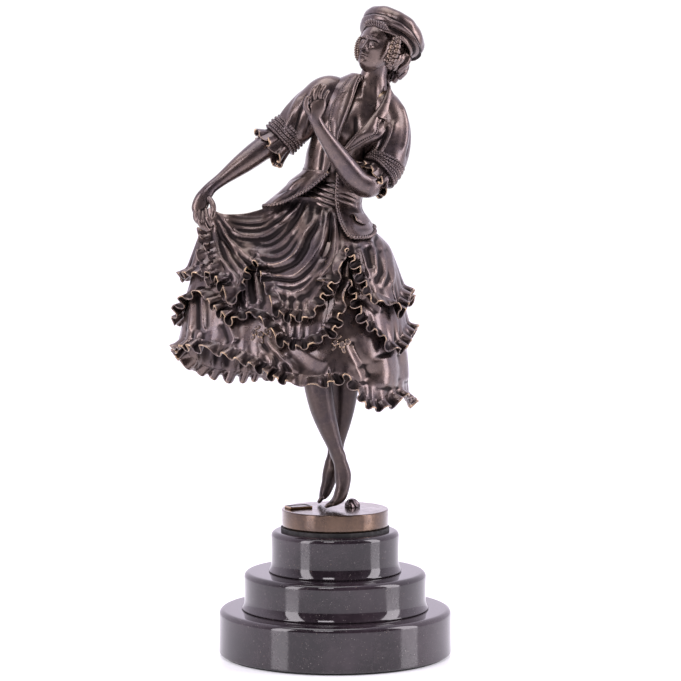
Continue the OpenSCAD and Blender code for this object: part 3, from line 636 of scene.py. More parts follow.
def fold_relief(x, z, folds):
    """The height of the folds at each point and how far their lips hang: each fold is a ridge along
    its line, a bell on the upper side and a shorter one on the lower side with a trough beneath."""
    rise, hang = np.zeros(x.shape), np.zeros(x.shape)
    for height, above, below, lip, points in folds:
        line = curve([[px, 0, pz] for px, pz in points], 34)[:, [0, 2]]
        reach = 4.5 * max(above, below)
        near = ((x > line[:, 0].min() - reach) & (x < line[:, 0].max() + reach)
                & (z > line[:, 1].min() - reach) & (z < line[:, 1].max() + reach))
        if not near.any():
            continue
        d, side, share = to_line(x[near], z[near], line)
        fade = ease(share / 0.16) * ease((1 - share) / 0.16)
        up = side >= 0
        ridge = np.where(up, np.exp(-(d / above) ** 1.4), np.exp(-(d / below) ** 1.7))
        trough = np.where(up, 0, np.exp(-((d - 2.0 * below) / below) ** 2))
        rise[near] += height * fade * (ridge - 0.55 * trough)
        hang[near] += height * lip * fade * np.exp(-(d / (0.8 * above)) ** 2)
    return rise, hang


def drape(a, z, amount, turn=0.0):
    """Folds that fall from the waist round the sides and back: the absolute value of a slow wave of
    the angle, turned over to make rounded folds between narrow hollows, deeper further down."""
    lean = (210 - z) / 75
    wave = np.abs(np.sin(5.5 * a + 0.9 * np.sin(2 * a + 1) + 0.5 * lean + turn))
    fine = np.abs(np.sin(13.5 * a + 1.4 * np.sin(3 * a) - 0.4 * lean + 2.1 * turn))
    gather = np.sin(34 * a + 2 * np.sin(5 * a)) * ease((z - 188) / 18)
    return (amount * ease(lean * 1.4) * (3.0 * (wave ** 0.7 - 0.72) + 1.2 * (fine ** 0.7 - 0.72))
            + 0.5 * gather)


def hem_angles(hem, out, flare, count):
    """Angles at which the edge of a tier is cut into equal lengths."""
    a = np.linspace(0, 2 * np.pi, 4001)
    edge = skirt_at(a, glide(np.degrees(a), hem, 360), out + flare)
    along = np.r_[0, np.cumsum(np.linalg.norm(np.diff(edge, axis=0), axis=1))]
    return np.interp(np.linspace(0, along[-1], count, endpoint=False), along, a), along[-1]


def smooth_round(v, width):
    """A periodic row of values averaged over a width, in columns."""
    kernel = np.hanning(2 * width + 3)[1:-1]
    kernel /= kernel.sum()
    pad = np.concatenate([v[-len(kernel):], v, v[:len(kernel)]])
    return np.stack([np.convolve(column, kernel, "same") for column in pad.T], -1)[len(kernel):-len(kernel)]


def cloth_point(a, z, out, folds, amount, turn, tucked=0.0):
    """The skirt's surface with its folds: the relief is laid on along the surface's normal, taken
    from the cross product of its two directions, and a lip lowers what it stands on. Under the
    jacket the cloth lies closer by the amount it is tucked in."""
    under = ease((z - 183) / 9) * ease((np.cos(a) + 0.35) / 0.7) * (tucked > 0)
    out = out - tucked * under
    flat = skirt_at(a, z, out)
    da, dz = 1e-3, 0.05
    normal = unit(np.cross(skirt_at(a + da, z, out) - flat, skirt_at(a, z + dz, out) - flat))
    front = ease((0.25 - np.sin(a)) / 0.5)
    rise, hang = fold_relief(flat[..., 0], z, folds)
    rise = rise * front + drape(a, z, amount, turn) * (1 - 0.93 * front)
    flat = flat + normal * (rise * (1 - 0.7 * under * (np.sin(a) > -0.99)))[..., None]
    flat[..., 2] -= hang * front
    return flat, normal


def sheet(outer, normal, thickness, back_rows, rim=0.5):
    """A sheet's two faces as one loop of rows: the inner face lies a wall's thickness behind the
    outer one, on fewer rows, with a half round between them along the rim."""
    keep = np.linspace(outer.shape[0] - 1, 0, back_rows).round().astype(int)
    thick = np.broadcast_to(thickness, outer.shape[:1])[:, None, None]
    inner = (outer - normal * thick)[keep]
    down = unit(outer[-1] - outer[-2])
    middle = (outer[-1] + inner[0]) / 2 + down * rim * thick[-1]
    near_front = outer[-1] + down * rim * 0.7 * thick[-1] - normal[-1] * 0.15 * thick[-1]
    near_back = inner[0] + down * rim * 0.7 * thick[-1] + normal[-1] * 0.15 * thick[-1]
    return np.concatenate([outer, near_front[None], middle[None], near_back[None], inner])


def plate(outer, normal, thickness):
    """A sheet with four edges, closed all round: the outer face, a rounded rim and the inner face,
    made as one grid whose columns run over the front, round the edge and back behind it."""
    inner = outer - normal * thickness
    middle = (outer + inner) / 2
    out_side = unit(outer[:, -1] - outer[:, -2])[:, None] * thickness * 0.45
    out_start = unit(outer[:, 0] - outer[:, 1])[:, None] * thickness * 0.45
    loop = np.concatenate([outer, middle[:, -1:] + out_side, inner[:, ::-1], middle[:, :1] + out_start], 1)
    width = outer.shape[1]
    first = loop[0].copy()
    last = loop[-1].copy()
    for edge in (first, last):
        mid = (edge[:width] + edge[width + 1:2 * width + 1][::-1]) / 2
        edge[:width], edge[width + 1:2 * width + 1] = mid, mid[::-1]
        edge[width], edge[-1] = mid[-1], mid[0]
    first += np.mean(loop[0] - loop[1], 0) * 0.4
    last += np.mean(loop[-1] - loop[-2], 0) * 0.4
    return outward(*welded(*skin(np.concatenate([first[None], loop, last[None]]))))


def flounced_tier(name, node, top, hem, out, folds, amount, turn, frill=5.6, wave_length=10.8,
                  depth=2.5, flare=5.4, tucked=0.0, panel_rub=0.14, shade=0.0):
    """A tier is a panel and a frill. The panel's columns stand at equal steps along the seam, its
    rows at equal steps from the top to the seam, and shallow flutes grow towards the seam. The
    frill's columns run square to the edge, each point moved out by a sine of the length along the
    edge and sideways by a sine of twice that, so that the flutes open into waves that curl over."""
    def strip(count):
        a, length = hem_angles(hem, out, flare, count)
        z = glide(np.degrees(a), hem, 360)
        here = skirt_at(a, z, out + flare)
        east = skirt_at(a + 1e-3, z, out) - skirt_at(a, z, out)
        north = skirt_at(a, z + 0.05, out) - skirt_at(a, z, out)
        per_angle, per_height = np.linalg.norm(east, axis=1) / 1e-3, np.linalg.norm(north, axis=1) / 0.05
        width = max(3, int(4.0 * count / length))
        run = unit(smooth_round(np.roll(here, -1, 0) - np.roll(here, 1, 0), width))
        upward = unit(smooth_round(np.cross(np.cross(east, north), run), width))
        bend = -(smooth_round(np.roll(run, -1, 0) - np.roll(run, 1, 0), width)
                 * upward).sum(1) * count / (2 * length)
        deep = frill / (1 + 7 * np.clip(bend, 0, 0.2))
        shift_a = (upward * unit(east)).sum(1) * deep / per_angle
        shift_z = (upward * unit(north)).sum(1) * deep / per_height
        return a, z, shift_a, shift_z, run, length

    def wave_phase(count, length):
        share = np.arange(count) / count
        waves = round(length / wave_length)
        phase = 2 * np.pi * waves * share + 1.5 * np.sin(2 * np.pi * round(waves / 7) * share + turn)
        phase = phase + 0.8 * np.sin(2 * np.pi * round(waves / 3.3) * share)
        return phase, 1 + 0.45 * np.sin(2 * np.pi * round(waves / 4.6) * share + 1), waves

    # the panel
    count, rows = 400, 84
    a, z, shift_a, shift_z, run, length = strip(count)
    seam_a, seam_z = a + shift_a * 0.94, z + shift_z * 0.94
    crown = glide(np.degrees(a), top, 360)
    t = shares(rows)
    pa = a + (seam_a - a) * t ** 2
    pz = crown + (np.minimum(seam_z, crown - 1) - crown) * t
    phase, size, waves = wave_phase(count, length)
    drawn = (0.75 * size * (1 - run[:, 2] ** 2) ** 2 * np.exp(-(1 - t) * (crown - seam_z) / 6.5)
             * np.sin(phase))
    surface, normal = cloth_point(pa, pz, out + flare * 0.15 * t ** 3, folds, amount, turn, tucked)
    surface = surface + normal * drawn[..., None]
    # shade lowers the whole panel's relief, so its colour darkens through the hollows' painted shade
    cast(name, skin(sheet(surface, normal, 1.7, 22), loop=True), node, width=1.3, rub=panel_rub,
         polish=shade)

    # the frill
    count, rows = 1240, 20
    a, z, shift_a, shift_z, run, length = strip(count)
    q = np.linspace(-0.08, 1, rows)[:, None]
    fa, fz = a + shift_a * (1 - q), z + shift_z * (1 - q)
    surface, normal = cloth_point(fa, fz, out + flare * (0.15 + 0.85 * np.clip(q, 0, 1) ** 1.15), folds,
                                  amount, turn, tucked)
    phase, size, waves = wave_phase(count, length)
    grow = np.clip(q, 0, 1) ** 1.15
    throw = size * (0.75 + (depth - 0.75) * grow) * (np.sin(phase) + 0.22 * np.sin(2 * phase + 0.7) * grow)
    along = -0.75 * size * grow * np.sin(2 * phase + 0.5 * np.sin(7 * phase / waves))
    seam_cord = 0.16 * np.exp(-(q / 0.08) ** 2)
    upward = unit(np.cross(normal[-1], run))
    lean_out = unit(normal + 0.95 * grow[..., None] * upward)
    surface = surface + lean_out * throw[..., None] + normal * seam_cord[..., None]
    surface = surface + run * along[..., None]
    own = np.cross(np.roll(surface, -1, 1) - np.roll(surface, 1, 1), np.gradient(surface, axis=0))
    own = unit(-own if (own * normal).sum() < 0 else own)
    walls = np.linspace(1.2, 0.95, rows)
    polish = np.concatenate([0.09 * ease((q[:, 0] - 0.80) / 0.20), [0.12] * 3, [0.08], np.zeros(9)])
    rub_and_shade_scale = 0.60 + 0.40 * np.sin(phase) + 0.25 * np.cos(0.31 * phase + turn)
    cast(name + "_frill", skin(sheet(surface, own, walls, 10), loop=True), width=0.9, rub=0.13,
         polish=(polish[:, None] * rub_and_shade_scale).ravel())


overskirt_top = [[0, 209.7], [90, 209.7], [110, 206], [128, 202.4], [150, 200.6], [168, 203], [180, 206.5],
                 [194, 205.6], [206, 203.2], [216, 202.2], [225, 202.6], [232, 204.4], [238, 207],
                 [243, 210.4], [250, 213.6], [258, 214.6], [266, 212.4], [276, 210], [290, 209.7],
                 [360, 209.7]]
middle_top = [[0, 184], [140, 184], [180, 180], [220, 184], [360, 184]]
lower_top = [[0, 160], [140, 160], [180, 158], [220, 160], [262, 160], [276, 170], [290, 170], [304, 160],
             [360, 160]]
overskirt_hem = [
    [0, 148], [20, 140], [45, 150], [60, 166], [80, 142], [110, 140], [130, 150], [150, 168], [165, 156],
    [180, 160], [217, 162], [224, 155], [231, 145], [235, 152], [238, 171], [245, 154], [250, 139],
    [257, 135], [263, 137], [268, 152], [276, 166], [284, 180], [292, 161], [298, 147], [315, 145],
    [324, 137], [333, 141], [346, 150], [360, 148]]
middle_hem = [
    [0, 124], [20, 116], [45, 122], [65, 132], [85, 116], [110, 118], [130, 126], [150, 134], [165, 126],
    [180, 132], [195, 144], [210, 150], [223, 139], [232, 132], [240, 137], [246, 131],
    [252, 119], [260, 116], [266, 121], [272, 127], [277, 140], [281, 157], [284, 158], [288, 142],
              [293, 131],
    [306, 123],
    [312, 114], [328, 113], [345, 123], [360, 124]]
lower_hem = [
    [0, 72], [20, 76], [45, 84], [90, 85], [130, 86], [150, 92], [165, 102], [180, 111], [211, 113],
    [222, 112], [232, 108], [242, 102], [251, 94], [263, 91], [273, 93], [280, 96], [287, 86], [294, 77],
    [305, 74], [320, 76], [330, 81], [345, 78], [360, 72]]

# Folds: height, width above, width below, hang of the lip, and the line in side distance and height
overskirt_folds = [
    (1.3, 2.4, 1.6, 0.1, [(-80, 204), (-73, 200), (-66, 197.6), (-56, 197), (-46, 199), (-38, 205)]),
    (1.1, 1.8, 1.3, 0.2, [(-80, 203), (-70, 195.6), (-60, 193.4), (-50, 194), (-41, 199), (-33, 207)]),
    (1.1, 2.0, 1.6, 0.2,
     [(-72, 190), (-64, 185), (-54, 183.6), (-44, 185), (-36, 191), (-28, 201), (-23, 209)]),
    (1.0, 2.0, 1.6, 0.2,
     [(-60, 180), (-50, 175.6), (-40, 175), (-32, 179), (-27, 185), (-21, 194), (-16, 204)]),
    (1.0, 2.2, 1.6, 0.2, [(-44, 160), (-36, 157.4), (-27, 157), (-19, 162), (-12, 171), (-8, 178)]),
    (2.6, 4.0, 2.2, 0.4,
     [(-80, 204), (-74, 198), (-69, 193), (-63, 189), (-55, 188), (-48, 189), (-40, 194), (-31, 203),
      (-24, 210)]),
    (3.4, 5.0, 2.2, 0.6,
     [(-82, 203), (-77, 195), (-72, 188), (-66, 182), (-61, 177), (-54, 173), (-47, 171), (-40, 170),
      (-32, 173), (-28, 176), (-24, 182), (-20, 191), (-15, 198), (-11, 204), (-11, 209)]),
    (1.3, 3.0, 2.4, 0.2,
     [(-66, 183), (-58, 181), (-49, 179), (-41, 180), (-33, 185), (-26, 194), (-20, 203), (-18, 210)]),
    (2.6, 3.6, 1.8, 0.6,
     [(-49, 166), (-43, 164), (-37, 163), (-27, 163), (-19, 169), (-12, 178), (-8, 184), (-5, 195),
      (-5, 203)]),
    (1.6, 3.2, 2.2, 0.2,
     [(-46, 156), (-37, 153), (-30, 151), (-24, 152), (-19, 155), (-12, 164), (-7, 171)]),
    (2.0, 2.6, 2.6, 0.0, [(-1, 204), (0, 193), (0, 183), (-1, 175), (-6, 165), (-12, 158)]),
    (-1.8, 1.6, 1.6, 0.0, [(-2, 206), (-3.4, 193), (-5, 184), (-10, 173)]),
    (1.5, 2.0, 2.0, 0.0, [(13, 186), (18, 174), (21, 166), (24, 159)]),
    (1.8, 2.0, 2.4, 0.0, [(27, 160), (27, 169), (26, 179), (22, 187)]),
    (-1.8, 2.6, 2.6, 0.0, [(21, 182), (23, 174), (24, 166)]),
    (1.7, 2.0, 2.0, 0.0, [(28, 190), (31, 183), (33, 174), (34, 164), (32, 158), (30, 153)]),
    (1.4, 2.0, 2.0, 0.0, [(31, 184), (36, 179), (38, 170), (39, 161), (36, 152)]),
    (1.3, 2.0, 1.8, 0.0, [(-22, 213), (-26, 205), (-33, 197), (-40, 193)]),
    (1.3, 1.8, 1.8, 0.0, [(-18, 212), (-20, 203), (-24, 194), (-30, 187)]),
    (1.2, 1.6, 1.6, 0.0, [(-8, 209), (-9, 200), (-13, 190), (-18, 181)]),
    (1.6, 2.0, 2.0, 0.0,
     [(-83, 200), (-81, 190), (-80, 181), (-78, 174), (-72, 167), (-67, 161), (-65, 156)]),
    (1.5, 1.8, 1.8, 0.0, [(-83, 198), (-78, 191), (-74, 181), (-70, 173), (-65, 166), (-61, 160)]),
    (1.7, 2.0, 1.8, 0.2, [(-80, 201), (-75, 193), (-71, 184), (-66, 176), (-61, 170), (-59, 164)])]
middle_folds = [
    (1.6, 2.2, 2.2, 0.0, [(-30, 150), (-33, 140), (-36, 130)]),
    (1.4, 2.2, 1.8, 0.0, [(16, 152), (24, 146), (32, 138)]),
    (1.6, 2.0, 2.0, 0.0, [(-62, 160), (-60, 150), (-58, 140)]),
    (1.6, 2.0, 2.0, 0.0, [(-54, 165), (-52, 152), (-50, 142)]),
    (1.8, 1.8, 1.8, 0.0, [(9, 176), (8, 162), (5, 148)]),
    (1.4, 1.8, 1.8, 0.0, [(14, 170), (16, 158), (20, 146)])]
lower_folds = [
    (1.6, 2.0, 2.0, 0.0, [(-97, 152), (-98, 136), (-98, 121)]),
    (2.2, 2.2, 2.2, 0.0, [(-90, 150), (-89, 136), (-88, 122)]),
    (1.3, 2.4, 2.4, 0.0, [(-73, 132), (-69, 124), (-66, 117)]),
    (1.8, 3.0, 2.0, 0.0, [(-48, 122), (-40, 113), (-30, 104), (-24, 97)]),
    (1.6, 4.5, 4.5, 0.0, [(-28, 118), (-16, 110), (-4, 104)]),
    (-1.8, 3.0, 3.0, 0.0, [(10, 122), (16, 110), (22, 100), (25, 92)]),
    (2.6, 7.0, 7.0, 0.0, [(32, 110), (35, 98), (34, 86)]),
    (1.6, 2.0, 2.0, 0.0, [(46, 112), (48, 100), (48, 88)])]
tier_step = 2.75
flounced_tier("lower_flounce", "skirt_lower_frill", lower_top, lower_hem, 0.0, lower_folds, 0.7, 0.0, 5.8,
              11.6, depth=2.7, panel_rub=0.1)
flounced_tier("middle_flounce", "skirt_middle_frill", middle_top, middle_hem, tier_step, middle_folds, 0.5,
              0.8, panel_rub=0.1)
flounced_tier("swagged_overskirt", "overskirt", overskirt_top, overskirt_hem, 2 * tier_step,
              overskirt_folds, 0.8, 1.7, tucked=2.2, panel_rub=0.2, shade=-0.045)


def on_skirt(x, z, out, folds, amount, turn):
    """The point and normal of a tier's front at given distances to the side and heights."""
    x, z = np.atleast_2d(x), np.atleast_2d(z)
    point, normal = cloth_point(skirt_angle(x, z, out), z, out, folds, amount, turn)
    return point[0], normal[0]


def ruffle(line, width, waves, depth):
    """A gathered strip sewn down along a line on the overskirt: across it the points move away from
    the line and off the cloth, along it they follow a sine and turn over at twice its pace."""
    line = curve([[px, 0, pz] for px, pz in line], 260)[:, [0, 2]]
    point, normal = on_skirt(line[:, 0], line[:, 1], 2 * tier_step, overskirt_folds, 0.8, 1.7)
    ahead = unit(np.gradient(point, axis=0))
    aside = unit(np.cross(normal, ahead))
    aside = np.where(aside[:, :1] > 0, -aside, aside)
    share = np.linspace(0, 1, len(line))
    phase = 2 * np.pi * (waves * share + 0.12 * np.sin(5 * share))
    q = shares(16)
    grow = q ** 1.1
    lay = (aside[None] * (width * q * (1 - 0.25 * np.cos(phase)))[..., None]
           + normal[None] * (0.4 + depth * grow * (0.8 + 0.7 * np.sin(phase)))[..., None]
           + ahead[None] * (0.7 * depth * grow * np.sin(2 * phase))[..., None])
    grid = point[None] + lay
    own = unit(np.cross(np.gradient(grid, axis=1), np.gradient(grid, axis=0)))
    own = np.where((own * normal[None]).sum(-1, keepdims=True).mean() < 0, -own, own)
    return plate(grid, own, 1.0)


def bloom(centre, normal, spin, radius, petals, stretch=1.0):
    """A flower or a leaf, modelled as a small boss: rings round its middle, whose radius rises and
    falls with the petals, first over the top from the middle outwards and then back underneath."""
    a = full_turn(60)
    t = np.concatenate([np.linspace(0.04, 1, 16), np.linspace(0.92, 0.1, 5)])[:, None]
    top = (np.arange(len(t)) < 16)[:, None]
    lobe = np.abs(np.cos(petals * a / 2)) ** 0.7
    r = radius * t * (0.70 + 0.30 * lobe * t)
    h = np.where(top, 0.8 + 0.32 * radius * np.sin(0.9 * np.pi * t) * (0.4 + 0.6 * lobe)
                 + 0.45 * np.exp(-(t / 0.22) ** 2), -0.9)
    east = unit(np.cross(np.array([0, 0, 1.0]), normal))
    north = np.cross(normal, east)
    u, v = r * np.cos(a) * stretch, r * np.sin(a) / stretch
    u, v = u * np.cos(spin) - v * np.sin(spin), u * np.sin(spin) + v * np.cos(spin)
    grid = centre + u[..., None] * east + v[..., None] * north + h[..., None] * normal
    return skin(grid, ends=("first", "last"))


cast("cascade_ruffles", together(
    ruffle([(-86, 195), (-84.5, 187), (-86, 179), (-83.5, 170), (-80, 162), (-78, 156)], 7.0, 5, 2.4),
    ruffle([(-82, 184), (-78, 174), (-75, 165), (-70, 158)], 6.2, 4, 2.2)), width=0.9, rub=0.14)
blooms = []
for x, z in ((-49.5, 122.5), (4.5, 117)):
    for dx, dz, radius, petals, stretch, spin in ((0, 0, 2.5, 5, 1, 0.2), (-4.4, 1.2, 2.2, 5, 1, 0.7),
                                                  (3.8, 2.0, 2.1, 5, 1, 1.1), (1.0, -3.8, 1.7, 1, 1.5, 1.9),
                                                  (-2.4, 4.6, 1.6, 1, 1.5, 0.5),
                                                  (6.6, -0.9, 1.5, 1, 1.5, 2.7),
                                                  (-5.4, -2.4, 1.5, 1, 1.5, 0.9)):
        point, normal = on_skirt([x + dx], [z + dz], 0.0, lower_folds, 0.7, 0.0)
        blooms.append(bloom(point[0], normal[0], spin, radius, petals, stretch))
cast("skirt_rosettes", together(*blooms), width=0.7, rub=0.2)


# ---- Bodice, neck and sash -------------------------------------------------------------------
# The trunk is one casting: the fitted blouse, the bare upper chest and the neck. A sash of soft
# folds is wound round the waist over it and the gathered top of the skirt.

def trunk_line(stations):
    """A trunk's stations, smoothed: the centre, the two half widths and the lean of each section."""
    return curve(stations, 240)


def trunk_at(line, share, a, out):
    """A point of a trunk: an ellipse round its centre line, leaning sideways by the section's lean."""
    k = np.clip(share, 0, 1) * (len(line) - 1)
    x, y, z, half_x, half_y, lean = (np.interp(k, np.arange(len(line)), line[:, j]) for j in range(6))
    lean = np.radians(lean)
    side, depth = (half_x + out) * np.cos(a), (half_y + out) * np.sin(a)
    return np.stack([x + side * np.cos(lean), y + depth, deck + z - side * np.sin(lean)], -1)


def trunk_angle(line, share, x):
    """Whether the section reaches a given distance to the side, as the cosine of the angle."""
    k = np.clip(share, 0, 1) * (len(line) - 1)
    cx, half_x, lean = (np.interp(k, np.arange(len(line)), line[:, j]) for j in (0, 3, 5))
    return (x - cx) / (half_x * np.cos(np.radians(lean)))


def trunk_front(line, x, z, out):
    """The point on a trunk's front with a given distance to the side and height: of all sections,
    the one whose leaning plane passes through it."""
    lean = np.radians(line[:, 5])
    miss = np.abs(line[:, 2] - (x[..., None] - line[:, 0]) * np.tan(lean) - z[..., None])
    k = miss.argmin(-1)
    cx, cy, half_x, half_y, tilt = (line[k, j] for j in (0, 1, 3, 4, 5))
    c = np.clip((x - cx) / ((half_x + out) * np.cos(np.radians(tilt))), -0.995, 0.995)
    return np.stack([x, cy - (half_y + out) * np.sqrt(1 - c ** 2), deck + z], -1)


def bump_at(point, x, z, wide, tall):
    """A bell on the front, by distance to the side and height above the disc."""
    return np.exp(-((point[..., 0] - x) / wide) ** 2 - ((point[..., 2] - deck - z) / tall) ** 2) * (
        point[..., 1] < 4)


bodice = trunk_line([
    [0, 0, 206, 14.5, 14, 0], [-1, 0, 214, 14.8, 14.2, 0], [0, 1, 224, 15, 13.5, 0], [3, 1, 243, 17, 14, 4],
    [11, 1, 257, 21, 15.5, 10], [15.5, 2, 268, 20.4, 13.2, 15], [18.6, 2.6, 276, 18.2, 11.6, 15],
    [21.6, 3, 283, 15.0, 10.2, 14], [24.8, 3.4, 289.5, 11.6, 9.2, 12], [26.6, 3, 297, 9.0, 8.4, 10],
    [28.4, 2.5, 305, 8.8, 8.6, 10], [29.6, 2, 311, 7.6, 8, 10]])
share, a = shares(180), full_turn(180)
flat = trunk_at(bodice, share, a, 0 * share)
rise = (2.4 * bump_at(flat, 3, 260, 6.5, 7.5) + 2.4 * bump_at(flat, 24, 256, 7, 7.5)
        - 1.0 * bump_at(flat, 14, 261, 2.6, 8)
        + 0.4 * bump_at(flat, 14, 281, 6, 1.6) + 0.3 * bump_at(flat, 27, 277, 4, 1.6)
        + 0.6 * bump_at(flat, 18.8, 288, 1.8, 8) + 0.6 * bump_at(flat, 27.5, 286, 1.8, 8)
        + 0.45 * bump_at(flat, -3, 236, 1.2, 9) - 0.4 * bump_at(flat, 0.5, 236, 1.2, 9))
wrinkle = np.sin(flat[..., 2] / 1.9 + 0.25 * flat[..., 0]) * np.exp(-((flat[..., 2] - deck - 229) / 6) ** 2)
flat = trunk_at(bodice, share, a, rise + 0.35 * wrinkle)
cast("bodice_casting", skin(flat[::-1], ends=("first", "last")), "bodice", width=1.6, rub=0.03)

share, a = shares(64), full_turn(240)
wound = trunk_line([[-1, 0, 207.5, 17.6, 17.4, 0], [-1, 0, 210.2, 17.9, 17.6, 0],
                    [-1, 0, 216, 18.0, 17.2, 0], [0, 1, 222, 17.2, 15.7, 0], [0.3, 1, 224, 15.5, 14, 0]])
slant = (share * 15 + 7.0 * np.cos(a) * ease(0.3 - np.sin(a))) / 3.7 + 0.10 * np.sin(3 * a + 2)
rows_of_folds = np.abs(np.sin(np.pi * slant)) ** 0.45
flat = trunk_at(wound, share, a, 1.7 * rows_of_folds - 0.1)
normal = unit(flat - trunk_at(wound, share, a, -14 + 0 * rows_of_folds))
cast("wound_sash", skin(sheet(flat[::-1], normal[::-1], 1.6, 16), loop=True), "sash", width=1.2)

# The cone that closes the skirt under the waist, with the legs let into it
inner_r = np.linspace(1.0, 0.05, 14)[:, None]
a = full_turn(160)
rim = skirt_at(a, np.full(a.shape, 201.0), -1.0)
rim[..., 0] = np.clip(rim[..., 0], -24, 30)
centre = np.array([-2.0, 0.0, deck + 205.5])
cone = centre + (rim - centre) * inner_r[..., None]
cast("waist_bulkhead", skin(np.concatenate([cone, cone[::-1] - np.array([0, 0, 2.0])]), loop=True))


# ---- Jacket ----------------------------------------------------------------------------------
# A short fitted jacket, cast as a wall of even thickness: the body above the waist seam, the
# flared skirt below it, both open down the front, corded along every edge. Collar, lapels and
# pocket flap are laid on and stitched along their edges.

jacket = trunk_line([
    [-12.5, 1, 208, 34.5, 21.5, 0], [-12.5, 1, 210, 33.5, 21, 0], [-8, 1, 218, 28.5, 20.4, 0],
    [-4.5, 1, 225, 25.5, 19.6, 0], [0, 1, 232, 22, 18.6, 0], [3, 1, 243, 22.5, 19.2, 4],
    [12, 1, 257, 26.5, 20.5, 10], [15.5, 2, 271, 27.5, 17.5, 16], [16.5, 3, 283, 25, 14.6, 15],
    [20, 4, 290, 19, 13, 12], [24, 4, 295.5, 13.0, 12, 12]])
near_edge = [[216, -21], [223, -11.5], [232, -5.5], [237, -3.5], [251, 1.3], [264, 5.4], [281, 11.5],
             [299, 17]]
far_edge = [[212, 1.3], [225, 1.9], [236, 2.6], [246, 6], [259, 17], [272, 28.4], [284.5, 37.6],
            [292, 37.5]]
cloth_wall = 1.7


def jacket_relief(point):
    """The body under the cloth and its pulls: the bust, hollows at the waist, a dart on each side and
    drags that run from the armholes."""
    x, y, z = point[..., 0], point[..., 1], point[..., 2] - deck
    front, back = y < 2, y > 2
    drag = lambda x0, z0, dx, dz, width: np.exp(-(((x - x0) * dz - (z - z0) * dx) / width) ** 2
                                                - (((x - x0) * dx + (z - z0) * dz) / 9) ** 2)
    return (front * (1.6 * bump_at(point, 0, 262, 8, 8) + 2.4 * bump_at(point, 28, 256, 8, 8)
                     + 0.8 * drag(-6, 262, 0.55, 0.83, 1.3) + 0.7 * drag(-10, 256, 0.4, 0.9, 1.2)
                     - 0.8 * drag(-9, 240, 0.1, 1.0, 1.0) + 0.9 * drag(36, 262, 0.75, 0.66, 1.3)
                     - 0.8 * drag(33, 266, 0.75, 0.66, 1.4) - 0.6 * drag(20, 238, -0.1, 1.0, 1.1))
            + back * (0.5 * np.sin(z / 5.5 + 0.12 * x) * np.exp(-((z - 236) / 12) ** 2)
                      - 0.7 * np.exp(-((x - 0.45 * (z - 240) - 6) / 0.8) ** 2)
                      + 0.8 * drag(-4, 266, 0.5, 0.86, 1.4) + 0.8 * drag(32, 262, -0.4, 0.9, 1.4)))


def share_of_height(z):
    """How far along the jacket's centre line a height is reached."""
    return np.interp(z, jacket[:, 2], np.linspace(0, 1, len(jacket)))


def body_sheet(rows, columns):
    """Rows of the jacket's body between its front edges: on each section the edges give two angles,
    and the columns stand evenly between them, from the far edge round the back to the near one."""
    share = np.linspace(share_of_height(229.0), 1, rows)[:, None]
    lean = np.interp(share, np.linspace(0, 1, len(jacket)), jacket[:, 5])
    z = np.interp(share, np.linspace(0, 1, len(jacket)), jacket[:, 2])
    slope = np.tan(np.radians(lean))
    near_x, far_x = z * 0 + 0.0, z * 0 + 20.0
    for _ in range(12):
        cx = np.interp(share, np.linspace(0, 1, len(jacket)), jacket[:, 0])
        near_x = glide(z - (near_x - cx) * slope, near_edge)
        far_x = glide(z - (far_x - cx) * slope, far_edge)
    near = 2 * np.pi - np.arccos(np.clip(trunk_angle(jacket, share, near_x), -0.98, 0.98))
    far = -np.arccos(np.clip(trunk_angle(jacket, share, far_x), -0.98, 0.98))
    a = far + (near - far) * np.linspace(0, 1, columns)
    flat = trunk_at(jacket, share, a, 0 * a)
    normal = unit(flat - trunk_at(jacket, share, a, -6 + 0 * a))
    return flat + normal * jacket_relief(flat)[..., None], normal


def cord(points, radius, pitch=1.5, rows=None):
    """A twisted cord along a row of points: a round section with three low strands that turn once
    in three pitches, closed at both ends."""
    length = np.linalg.norm(np.diff(points, axis=0), axis=1).sum()
    rows = rows or int(length / 0.35)
    line = curve(np.concatenate([points, np.full((len(points), 1), radius)], 1), rows)
    s = np.linspace(0, length, rows)[:, None]
    ahead = unit(np.gradient(line[:, :3], axis=0))
    across = unit(np.cross(np.array([0.2, 0.3, 1.0]), ahead))
    over = np.cross(ahead, across)
    a = full_turn(14)
    r = radius * (1 + 0.22 * np.cos(2 * a + 2 * np.pi * s / pitch))
    r[0], r[-1] = r[0] * 0.3, r[-1] * 0.3
    grid = (line[:, None, :3] + (r * np.cos(a))[..., None] * across[:, None]
            + (r * np.sin(a))[..., None] * over[:, None])
    return skin(grid, ends=("first", "last"))


body, body_out = body_sheet(104, 180)
cast("jacket_body_casting", plate(body, body_out, cloth_wall), "jacket_body", width=1.3, rub=0.1)

flare_hem = [[-90, 196], [-84, 194], [-78, 189.5], [-62, 187.4], [-45, 187.6], [-25, 190], [0, 193],
             [30, 196], [60, 197], [120, 198], [150, 200.5], [172, 206.5], [205, 208.3], [222, 209.5],
             [240, 215.5], [250, 221], [257, 227.5], [262, 231.5]]


def flared(a, z, out):
    """The jacket below the waist: the trunk's own ellipse above, and further down, away from the held
    side, the skirt's surface, let out enough to clear the overskirt."""
    share = share_of_height(z)
    trunk = trunk_at(jacket, share, a, out + 0.5 * ease((214 - z) / 20))
    clear = 3 * tier_step - 2.3 - 2.6 * ease((z - 185) / 8) * ease((np.cos(a) - 0.3) / 0.5)
    over = skirt_at(a, z - 0.55 * np.maximum(z - 203, 0) ** 2 / (z - 203 + 9), clear + out)
    over[..., 2] = deck + z
    lower = ease((222 - z) / 22) * ease((np.cos(a) + 0.35) / 0.7)
    mixed = trunk * (1 - lower[..., None]) + over * lower[..., None]
    mixed[..., 2] = deck + z
    return mixed


